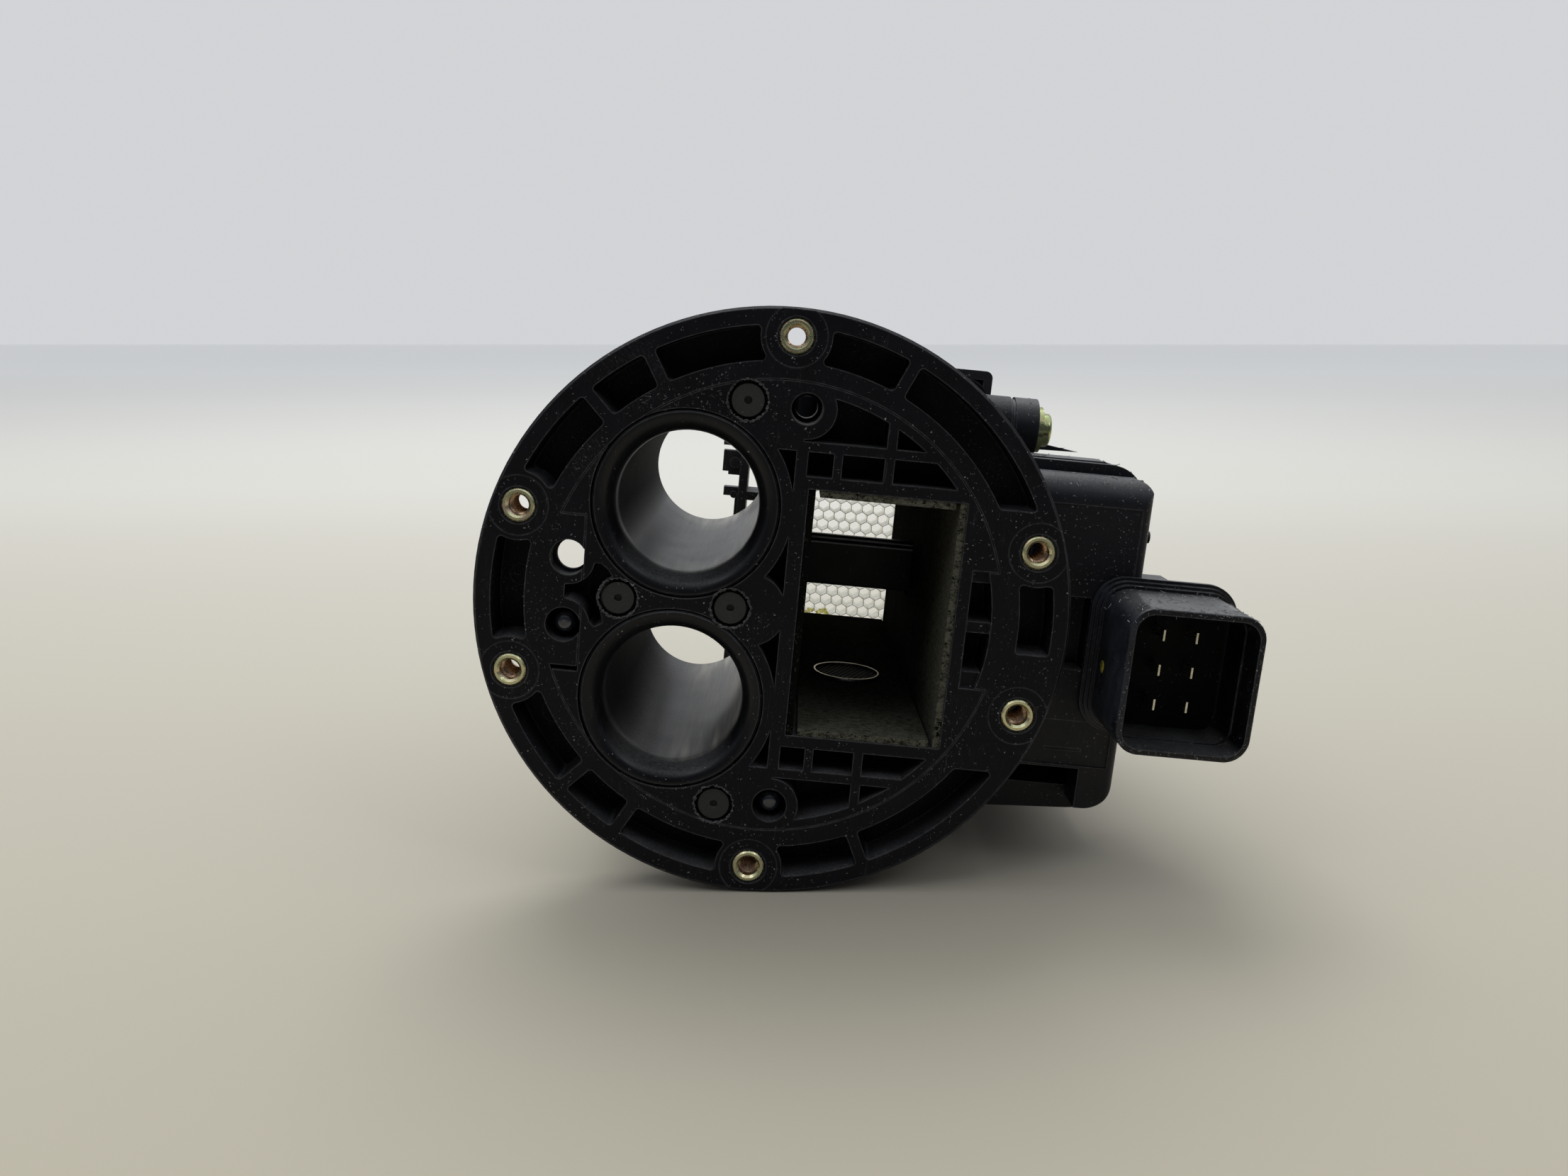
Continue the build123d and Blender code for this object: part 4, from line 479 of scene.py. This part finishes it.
def felt(name):
    """Fine felt: mottled grey-olive fibre, worn towards the front, with a dark cut end on the left liner."""
    material, tree, shader = new_material(name)
    place, axes = object_point(tree), place_axes(tree)
    fibre = noise_value(tree, object_point(tree, scale=(0.45, 1.9, 0.6), turn=(12, 0, 0)), 1.7, 5.0, 0.75)
    grains = noise_value(tree, place, 5.0, 3.0)
    cloud = noise_value(tree, place, 0.12, 3.0)
    specks = use_group(tree, DUST_SPECKS, spacing=1.0, size=0.10, amount=0.35).outputs["Mask"]
    mixed = math_node(tree, "ADD", product(tree, fibre, 0.65), product(tree, grains, 0.35))
    base = mix_colour(tree, ramp(tree, mixed, 0.44, 0.57), FELT_DARK, FELT_LIGHT)
    base = mix_colour(tree, ramp(tree, cloud, 0.4, 0.65, 0.0, 0.4), base, FELT_CLOUD)
    base = mix_colour(tree, specks, base, FELT_SPECK)
    worn = product(tree, ramp(tree, axes["Y"], 34.0, 2.0, 0.0, 0.75), ramp(tree, mixed, 0.42, 0.54))
    base = mix_colour(tree, worn, base, FELT_WORN)
    cut = product(tree, ramp(tree, axes["Y"], 1.25, 1.0), ramp(tree, axes["X"], *LEFT_LINER_EDGE))
    tree.links.new(mix_colour(tree, cut, base, FELT_CUT), shader["Base Color"])
    shader["Roughness"].default_value = 1.0
    shader["Specular IOR Level"].default_value = 0.08
    set_bump(tree, shader, mixed, 0.35)
    return material


def plated(name, colours, roughness, rust=0.0, bore_rust=0.0):
    """Plated metal: iridescent patches, small pits and rust-brown stains, thicker inside a bore."""
    material, tree, shader = new_material(name)
    place = object_point(tree)
    grain = noise_value(tree, place, 3.5, 4.0)
    steps = add_node(tree, "ShaderNodeValToRGB", {"Fac": noise_value(tree, place, 0.45, 3.0)})
    stops = steps.color_ramp.elements
    low, high = PLATING_STOPS
    stops[0].position, stops[1].position = low, high
    stops[0].color, stops[1].color = (*colours[0], 1), (*colours[-1], 1)
    for index, colour in enumerate(colours[1:-1], start=1):
        stops.new(low + (high - low) * index / (len(colours) - 1)).color = (*colour, 1)
    stain = ramp(tree, grain, 0.52, 0.66, 0.0, rust)
    base = mix_colour(tree, stain, steps.outputs["Color"], RUST_STAIN)
    if bore_rust:
        base = mix_colour(tree, ramp(tree, place_axes(tree)["Y"], 0.8, 2.2, 0.0, bore_rust), base, BORE_RUST)
    tree.links.new(base, shader["Base Color"])
    tree.links.new(ramp(tree, stain, 0.0, 1.0, 1.0, 0.1), shader["Metallic"])
    tree.links.new(ramp(tree, grain, 0.3, 0.7, roughness - 0.08, roughness + 0.15), shader["Roughness"])
    set_bump(tree, shader, grain, 0.02)
    return material


def wire_mesh(name):
    """Fine dark wire mesh, woven at a slant."""
    material, tree, shader = new_material(name)
    place = object_point(tree, turn=(0, 0, 24))
    waves = [add_node(tree, "ShaderNodeTexWave", {"Vector": place, "Scale": 0.29}, bands_direction=way).outputs["Fac"]
             for way in ("X", "Y")]
    height = math_node(tree, "MAXIMUM", *waves)
    tree.links.new(mix_colour(tree, ramp(tree, height, 0.72, 0.96), WIRE_GAP, WIRE_TOP), shader["Base Color"])
    tree.links.new(ramp(tree, height, 0.55, 0.95, 1.0, 0.55), shader["Roughness"])
    shader["Specular IOR Level"].default_value = 0.15
    set_bump(tree, shader, height, 0.05)
    return material


def foil(name):
    """Thin pale foil, dulled by a yellowish film."""
    material, tree, shader = new_material(name)
    film_and_sheen = noise_value(tree, object_point(tree), 0.5, 4.0)
    tree.links.new(mix_colour(tree, ramp(tree, film_and_sheen, 0.35, 0.65), FOIL_BRIGHT, FOIL_DULL), shader["Base Color"])
    tree.links.new(ramp(tree, film_and_sheen, 0.3, 0.7, 0.20, 0.36), shader["Roughness"])
    shader["Metallic"].default_value = 0.9
    set_bump(tree, shader, film_and_sheen, 0.02)
    return material


def painted(name, colour, worn, glow=0.0):
    """Matt coat or fibre: its colour breaks into a worn one, and light from behind glows through it."""
    material, tree, shader = new_material(name)
    noise = noise_value(tree, object_point(tree), 1.3, 4.0)
    base = mix_colour(tree, ramp(tree, noise, 0.42, 0.62), (*colour, 1), (*worn, 1))
    tree.links.new(base, shader["Base Color"])
    tree.links.new(base, shader["Emission Color"])
    shader["Emission Strength"].default_value = glow
    shader["Roughness"].default_value = 0.7
    set_bump(tree, shader, noise, 0.03)
    return material


FINISHES = {
    "body_nylon": black_plastic("dry_black_nylon", (0.0028, 0.0031, 0.0054), dust=0.55, specular=0.19,
                                clean_behind=True, scuffs=SCUFFS),
    "frame_nylon": black_plastic("plain_black_nylon", (0.0110, 0.0112, 0.0130), scratch=0.2),
    "case_nylon": black_plastic("smooth_black_nylon", (0.0064, 0.0068, 0.0100), roughness=(0.34, 0.5), grain=0.03,
                                dust=0.4, specular=0.3),
    "connector_nylon": black_plastic("satin_black_plastic", (0.0045, 0.0047, 0.0068), roughness=(0.24, 0.40),
                                     grain=0.02, dust=0.3, specular=0.28, touch=socket_shade),
    "tube_nylon": black_plastic("dark_grey_nylon", (0.0058, 0.0061, 0.0076), roughness=(0.31, 0.35), grain=0.003,
                                dust=0.12, specular=0.25, touch=post_heads_and_tube_sheen),
    "dowel_nylon": black_plastic("shiny_black_nylon", (0.016, 0.019, 0.028), roughness=(0.14, 0.22), grain=0.01,
                                 dust=0.2, specular=1.0),
    "soft_rubber": black_plastic("black_rubber", (0.007, 0.007, 0.008), roughness=(0.6, 0.75), grain=0.04,
                                 edge=0.15),
    "board_laminate": black_plastic("green_laminate", (0.02, 0.10, 0.05), roughness=(0.3, 0.4), grain=0.01,
                                    dust=0.05),
    "cell_plastic": black_plastic("dark_cell_resin", (0.02, 0.02, 0.022), roughness=(0.3, 0.4), grain=0.01,
                                  dust=0.05),
    "probe_resin": black_plastic("dark_bead_resin", (0.02, 0.02, 0.025), roughness=(0.3, 0.4), grain=0.01,
                                 dust=0.05),
    "insert_brass": plated("yellow_zinc", ((0.76, 0.62, 0.36), (0.70, 0.65, 0.40), (0.56, 0.58, 0.34),
                                           (0.76, 0.54, 0.42)), 0.22, rust=0.15, bore_rust=0.7),
    "zinc_steel": plated("green_yellow_zinc", ((0.50, 0.50, 0.27), (0.36, 0.43, 0.20), (0.56, 0.48, 0.28)), 0.2,
                         rust=0.15),
    "transducer_can": plated("dull_can_metal", ((0.62, 0.56, 0.46), (0.50, 0.46, 0.40), (0.66, 0.60, 0.52)), 0.3),
    "terminal_brass": plated("tinned_brass", ((0.78, 0.72, 0.56), (0.70, 0.66, 0.52), (0.82, 0.76, 0.64)), 0.2),
    "shield_tin": plated("tinned_steel", ((0.62, 0.62, 0.60), (0.55, 0.55, 0.54), (0.66, 0.66, 0.64)), 0.3),
    "felt": felt("grey_felt"),
    "wire_mesh": wire_mesh("dark_wire_mesh"),
    "honeycomb_foil": foil("pale_foil"),
}
ROUGH_FLASH = black_plastic("rough_flash", (0.045, 0.045, 0.044), roughness=(0.35, 0.6), grain=0.06,
                            edge_width=0.12, dust=0.5, edge_colour=(0.16, 0.16, 0.155, 1))
# its touch paints two thin highlights on the column's upper steps
COLUMN_FINISH = black_plastic("satin_dark_nylon", (0.0022, 0.0021, 0.0045), roughness=(0.28, 0.36), grain=0.01,
                              dust=0.12, specular=0.2, touch=column_glints)
RUSTY_THREAD = plated("rusty_thread", ((0.42, 0.24, 0.15), (0.52, 0.36, 0.24), (0.34, 0.17, 0.11)), 0.3, rust=0.9)
YELLOW_PAINT = painted("yellow_paint", (0.62, 0.56, 0.05), (0.12, 0.11, 0.03))
OLIVE_CRUMB = painted("olive_crumb", (0.52, 0.49, 0.16), (0.36, 0.32, 0.09), glow=0.55)
PALE_LINT = painted("pale_lint", (0.36, 0.36, 0.34), (0.18, 0.18, 0.17))
FELT_FIBRE = painted("felt_fibre", (0.120, 0.115, 0.088), (0.045, 0.043, 0.033))

for part in frame["record"]["subparts"]:
    node = frame["nodes"][part["node"]]
    node.data.materials.clear()
    node.data.materials.append(COLUMN_FINISH if part["node"] == "vortex_column" else FINISHES[part["material_slot"]])


# ================================================================ small pieces
NO_PLACE = Matrix()
FACING_FRONT = (math.radians(90), 0, 0)


def deselect_all():
    bpy.ops.object.select_all(action="DESELECT")


def only(piece):
    """Select one object alone and make it active."""
    deselect_all()
    piece.select_set(True)
    bpy.context.view_layer.objects.active = piece


def edit_all():
    """Open the active object's mesh with everything selected."""
    bpy.ops.object.mode_set(mode="EDIT")
    bpy.ops.mesh.select_all(action="SELECT")


def leave_edit():
    bpy.ops.object.mode_set(mode="OBJECT")


def applied():
    """Active object, with its place, turn and size now in its mesh."""
    bpy.ops.object.transform_apply(location=True, rotation=True, scale=True)
    return bpy.context.object


def settled(piece, name, finish, place=NO_PLACE):
    """Move a finished piece to its place, leave its object at the origin and let it ride on the body."""
    only(piece)
    piece.matrix_world = place @ piece.matrix_world
    applied()
    piece.name = name
    piece.data.materials.clear()
    piece.data.materials.append(finish)
    bpy.ops.object.shade_smooth_by_angle(angle=math.radians(40))
    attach(piece, "root")


def copied(piece, place=NO_PLACE):
    """Copy of a piece with a mesh of its own, at a place."""
    copy = piece.copy()
    copy.data = piece.data.copy()
    bpy.context.scene.collection.objects.link(copy)
    copy.matrix_world = place
    return copy


def joined(pieces):
    """One piece made of several."""
    deselect_all()
    for piece in pieces:
        piece.select_set(True)
    bpy.context.view_layer.objects.active = pieces[0]
    bpy.ops.object.join()
    return pieces[0]


def removed(*pieces):
    """Delete the models that only served to be copied."""
    for piece in pieces:
        bpy.data.objects.remove(piece, do_unlink=True)


def at(x, y, z):
    """Matrix that moves to a place given in millimetres."""
    return Matrix.Translation(Vector((x, y, z)) * MM)


def seat(nodes, start, way):
    """Nearest place, in millimetres, and outward normal that a straight way meets on the named nodes."""
    found = []
    for name in nodes:
        hit, place, normal, _ = frame["nodes"][name].ray_cast(Vector(start) * MM, Vector(way))
        if hit:
            found.append(((place / MM - Vector(start)).length, place / MM, normal))
    return min(found, key=lambda item: item[0])[1:] if found else None


def front_of(node):
    """Y of a node's front, in millimetres."""
    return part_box(node)[0][1] / MM


def model_thread():
    """Helical ridge of one insert's thread, from the origin along +Y."""
    deselect_all()
    bpy.ops.mesh.primitive_circle_add(vertices=3, radius=THREAD_RIDGE * MM, location=(THREAD_RADIUS * MM, 0, 0),
                                      rotation=(0, 0, math.radians(90)))
    thread = applied()
    winding = thread.modifiers.new("winding", "SCREW")
    winding.axis = "Y"
    winding.screw_offset = THREAD_PITCH * MM
    winding.iterations = THREAD_TURNS
    winding.steps = winding.render_steps = THREAD_STEPS
    bpy.ops.object.modifier_apply(modifier="winding")
    bpy.ops.object.mode_set(mode="EDIT")
    bpy.ops.mesh.select_all(action="DESELECT")
    bpy.ops.mesh.select_non_manifold()
    bpy.ops.mesh.fill_holes(sides=4)
    bpy.ops.mesh.select_all(action="SELECT")
    bpy.ops.mesh.normals_make_consistent(inside=False)
    leave_edit()
    return thread


def model_ring(radius, thickness):
    """Thin round bead, facing the front."""
    deselect_all()
    bpy.ops.mesh.primitive_torus_add(major_segments=72, minor_segments=6, major_radius=radius * MM,
                                     minor_radius=thickness * MM, rotation=FACING_FRONT)
    return applied()


def model_ejector_mark():
    """Low round pad of unit size with a soft edge, facing the front."""
    deselect_all()
    bpy.ops.mesh.primitive_cylinder_add(vertices=40, radius=1.0, depth=1.0, rotation=FACING_FRONT)
    mark = applied()
    edit_all()
    bpy.ops.mesh.bevel(offset=0.06, segments=2, affect="EDGES")
    leave_edit()
    return mark


def model_blob(roughness, seed):
    """Lumpy grain of unit size, for a dab of paint or a crumb."""
    deselect_all()
    bpy.ops.mesh.primitive_ico_sphere_add(subdivisions=3, radius=0.5)
    blob = bpy.context.object
    edit_all()
    bpy.ops.transform.vertex_random(offset=roughness, uniform=0.5, normal=0.5, seed=seed)
    bpy.ops.mesh.vertices_smooth(factor=0.5, repeat=2)
    leave_edit()
    return blob


# ---------------------------------------------------------------- thread ridges in the inserts
thread = model_thread()
thread_front = front_of("threaded_inserts") + THREAD_START
for number, (x, z) in enumerate(INSERT_PLACES, start=1):
    settled(copied(thread), f"insert_thread_{number}", RUSTY_THREAD, at(x, thread_front, z))
removed(thread)

# ---------------------------------------------------------------- plastic squeezed out round the staked posts
ring = model_ring(FLASH_RADIUS, FLASH_THICKNESS)
for number, (x, z) in enumerate(POST_PLACES, start=1):
    flash = copied(ring)
    only(flash)
    edit_all()
    bpy.ops.transform.vertex_random(offset=FLASH_ROUGHNESS * MM, uniform=0.6, normal=0.4, seed=number)
    bpy.ops.mesh.subdivide(number_cuts=1, smoothness=0.6)
    leave_edit()
    settled(flash, f"post_flash_{number}", ROUGH_FLASH, at(x, FLASH_DEPTH, z))
removed(ring)

# ---------------------------------------------------------------- seam that closes the gap behind each flared mouth
for side, (x, z) in zip(("upper", "lower"), TUBE_PLACES):
    settled(model_ring(FLARE_SEAM_RADIUS, FLARE_SEAM_THICKNESS), f"flare_seam_{side}", FINISHES["body_nylon"],
            at(x, FLARE_SEAM_DEPTH, z))

# ---------------------------------------------------------------- ejector marks on the floors of the rim pockets
mark = model_ejector_mark()
for number, (x, z, radius) in enumerate(EJECTOR_PLACES, start=1):
    size = Matrix.Diagonal((radius * MM, EJECTOR_HEIGHT * MM, radius * MM, 1))
    settled(copied(mark, size), f"ejector_mark_{number}", FINISHES["body_nylon"],
            at(x, RIM_POCKET_FLOOR - EJECTOR_HEIGHT / 2 + EJECTOR_SUNK, z))
removed(mark)

# ---------------------------------------------------------------- dab of paint on the socket's left side
dab = model_blob(DAB_ROUGHNESS, seed=3)
dab_size = Matrix.Diagonal((PAINT_DOT_HEIGHT * MM, PAINT_DOT_WIDTH * MM, PAINT_DOT_LENGTH * MM, 1))
dab_place = seat(SOCKET, PAINT_DOT_START, TO_RIGHT)[0]
settled(copied(dab, dab_size), "paint_dot", YELLOW_PAINT, Matrix.Translation(dab_place * MM))
removed(dab)

# ---------------------------------------------------------------- crumbs caught in the honeycomb
crumb = model_blob(CRUMB_ROUGHNESS, seed=8)
honeycomb_front = front_of("honeycomb")
chance = random.Random(4)
crumbs = []
for x, z, size in CRUMB_PLACES:
    for _ in range(CRUMBS_EACH):
        scale = size * chance.uniform(0.8, 1.4) * MM
        spot = at(x + chance.uniform(-0.6, 0.6), honeycomb_front + chance.uniform(0.0, 1.2),
                  z + chance.uniform(-0.5, 0.5))
        turn = Matrix.Rotation(chance.uniform(0, math.tau), 4, "Y")
        crumbs.append(copied(crumb, spot @ turn @ Matrix.Diagonal((scale, scale, 0.6 * scale, 1))))
settled(joined(crumbs), "honeycomb_debris", OLIVE_CRUMB)
removed(crumb)


# ---------------------------------------------------------------- fibres of lint and felt
def model_fibre(turns, rise, thickness):
    """Fine fibre of unit length along +X, bent at each step and lifting off at its far end."""
    deselect_all()
    bpy.ops.mesh.primitive_circle_add(vertices=4, radius=thickness / 2, fill_type="NGON",
                                      rotation=(0, math.radians(90), 0))
    fibre = applied()
    edit_all()
    heading, step = 0.0, 1 / len(turns)
    for index, turn in enumerate(turns):
        heading += math.radians(turn)
        way = (step * math.cos(heading), step * math.sin(heading), rise * step * index)
        bpy.ops.mesh.extrude_region_move(TRANSFORM_OT_translate={"value": way})
    bpy.ops.mesh.select_all(action="SELECT")
    bpy.ops.mesh.normals_make_consistent(inside=False)
    leave_edit()
    return fibre


def scatter(name, finish, nodes, starts, way, count, lengths, seed, lean=0.0, deepest=ANY_DEPTH):
    """Fibres on the named nodes: each starts in the box of starts, falls along way and lies on what it meets."""
    chance = random.Random(seed)
    laid = []
    while len(laid) < count:
        start = [chance.uniform(*span) for span in starts]
        spin, length, kind = chance.uniform(0, math.tau), chance.uniform(*lengths), chance.choice(FIBRES)
        found = seat(nodes, start, way)
        if not found or found[0].y > deepest:
            continue
        spot, normal = found
        turn = normal.to_track_quat("Z", "Y").to_matrix().to_4x4()
        tip = Matrix.Rotation(-chance.uniform(0.0, lean), 4, "Y")
        size = Matrix.Diagonal((length * MM, length * MM, length * MM, 1))
        laid.append(copied(kind, Matrix.Translation((spot + FIBRE_LIFT * normal) * MM) @ turn
                           @ Matrix.Rotation(spin, 4, "Z") @ tip @ size))
    settled(joined(laid), name, finish)


FIBRES = [model_fibre(*form) for form in FIBRE_FORMS]
# name, slot, nodes, box of starts (x, y, z), way, count, lengths, seed, depth
for name, slot, nodes, starts, way, count, lengths, seed, deepest in (
        ("connector_lint", "connector_nylon", SOCKET, ((68, 100), (-5.5, 15), ABOVE_SOCKET), DOWN, 150, (0.4, 1.5), 11,
         ANY_DEPTH),
        ("module_lint", "case_nylon", MODULE, ((54, 80), (18, 92), ABOVE_MODULE), DOWN, 60, (0.6, 2.2), 12,
         ANY_DEPTH),
        ("flange_lint", "body_nylon", FACE, ((-59, 59), BEFORE, (-59, 59)), TO_BACK, 420, (0.12, 0.5), 13, FACE_DEPTH),
        ("ring_lint", "body_nylon", FACE, ((-32, -8), BEFORE, (36, 43)), TO_BACK, 110, (0.12, 0.5), 18, FACE_DEPTH),
        ("left_ring_lint", "body_nylon", FACE, ((-50, -43), BEFORE, (-20, 20)), TO_BACK, 150, (0.12, 0.45), 19,
         FACE_DEPTH),
        ("socket_lint", "connector_nylon", SOCKET, ((71, 97), BEFORE, (-20, 8)), TO_BACK, 14, (0.3, 1.2), 14,
         ANY_DEPTH),
        ("socket_rim_lint", "connector_nylon", SOCKET, ((68, 99.4), BEFORE, (-23, 11)), TO_BACK, 150, (0.15, 0.7), 20,
         RIM_DEPTH)):
    scatter(name, PALE_LINT, nodes, starts, way, count, lengths, seed, deepest=deepest)
# name, node, box of starts, count, lengths, seed
for name, node, starts, count, lengths, seed in (
        ("felt_fuzz_right", "liner_right", ((35.2, 36.6), BEFORE, (-24.6, 24.6)), 170, (0.35, 1.1), 15),
        ("felt_fuzz_left", "liner_left", ((5.2, 6.5), BEFORE, (-24.6, 24.6)), 60, (0.3, 0.8), 16),
        ("felt_fuzz_low", "liner_bottom", ((7, 34), BEFORE, (-25.2, -23.9)), 60, (0.3, 0.9), 17)):
    scatter(name, FELT_FIBRE, [node], starts, TO_BACK, count, lengths, seed, lean=FELT_LEAN)
removed(*FIBRES)


# ================================================================ stage, light and camera
def floor_finish():
    """Pale warm floor, darker and warmer towards the front: painted shade standing in for the fall-off of light and
    the shadow of the camera.
    """
    material, tree, shader = new_material("pale_floor")
    depth = add_node(tree, "ShaderNodeSeparateXYZ",
                     {"Vector": tree.nodes.new("ShaderNodeTexCoord").outputs["Object"]}).outputs["Y"]
    base = FLOOR_TONE
    for span, tone in FLOOR_FURTHER:
        base = mix_colour(tree, ramp(tree, depth, *span), base, tone)
    span, tone = FLOOR_FRONT_SHADE
    tree.links.new(mix_colour(tree, ramp(tree, depth, *span), tone, base), shader["Base Color"])
    shader["Roughness"].default_value = 0.75
    shader["Specular IOR Level"].default_value = 0.3
    return material


def wall_finish():
    """Backdrop of one even tone wherever it is seen or mirrored."""
    material, tree, shader = new_material("pale_wall")
    shader["Base Color"].default_value = WALL_COLOUR
    shader["Roughness"].default_value = 0.9
    rays = tree.nodes.new("ShaderNodeLightPath").outputs
    seen = math_node(tree, "MAXIMUM", rays["Is Camera Ray"], rays["Is Glossy Ray"])
    seen = math_node(tree, "MAXIMUM", seen, rays["Is Transmission Ray"])
    glow = add_node(tree, "ShaderNodeEmission", {"Color": WALL_GLOW})
    surface = next(node for node in tree.nodes if node.type == "OUTPUT_MATERIAL").inputs["Surface"]
    plain = surface.links[0].from_socket
    blend = add_node(tree, "ShaderNodeMixShader", {0: seen, 1: plain, 2: glow.outputs[0]})
    tree.links.new(blend.outputs[0], surface)
    return material


def stage_plane(name, place, finish):
    """Large plane of the floor or the wall."""
    bpy.ops.mesh.primitive_plane_add(size=FLOOR_SIZE * MM)
    plane = bpy.context.object
    plane.name = name
    plane.matrix_world = place
    plane.data.materials.append(finish)
    return plane


def softbox(name, place, target, size, watts, colour):
    """Rectangular lamp at a place, facing its target."""
    light = bpy.data.lights.new(name, "AREA")
    light.shape = "RECTANGLE"
    light.size, light.size_y = (side * MM for side in size)
    light.energy = watts
    light.color = colour
    lamp = bpy.data.objects.new(name, light)
    bpy.context.scene.collection.objects.link(lamp)
    aim = Vector(target) - Vector(place)
    lamp.matrix_world = at(*place) @ aim.to_track_quat("-Z", "Y").to_matrix().to_4x4()


def build_world():
    """Soft sky light from above and behind, dim from the front."""
    world = bpy.data.worlds.new("soft_daylight")
    world.use_nodes = True
    tree = world.node_tree
    direction = tree.nodes.new("ShaderNodeTexCoord").outputs["Generated"]
    side = add_node(tree, "ShaderNodeVectorMath", {0: direction, 1: SKY_DIRECTION}, operation="DOT_PRODUCT")
    amount = ramp(tree, side.outputs["Value"], *SKY_SPAN)
    tree.links.new(mix_colour(tree, amount, SKY_FRONT, SKY_TOP), tree.nodes["Background"].inputs["Color"])
    bpy.context.scene.world = world


def rotation(degrees, axis):
    """Matrix that turns round one axis."""
    return Matrix.Rotation(math.radians(degrees), 4, axis)


floor_normal = Vector((-FLOOR_SLOPE_X, -FLOOR_SLOPE_Y, 1)).normalized()
floor_place = at(0, 0, FLOOR_HEIGHT) @ Vector((0, 0, 1)).rotation_difference(floor_normal).to_matrix().to_4x4()
floor = stage_plane("floor", floor_place, floor_finish())
wall = stage_plane("wall", floor_place @ at(0, WALL_DISTANCE, 0) @ rotation(90, "X"), wall_finish())
wall.visible_diffuse = False      # the sky light reaches the floor through it
wall.visible_shadow = False

build_world()
for lamp in SOFTBOXES:
    softbox(*lamp)

camera = bpy.data.cameras.new("camera")
camera.sensor_width = SENSOR_WIDTH
camera.lens = SENSOR_WIDTH * FOCAL_SHARE
camera.clip_end = 100
viewer = bpy.data.objects.new("camera", camera)
bpy.context.scene.collection.objects.link(viewer)
viewer.matrix_world = (at(*CAMERA_PLACE) @ rotation(90, "X") @ rotation(CAMERA_ROLL, "Z") @ rotation(CAMERA_YAW, "Y")
                       @ rotation(-CAMERA_PITCH, "X"))
bpy.context.scene.camera = viewer
bpy.context.scene.view_settings.view_transform = "Standard"
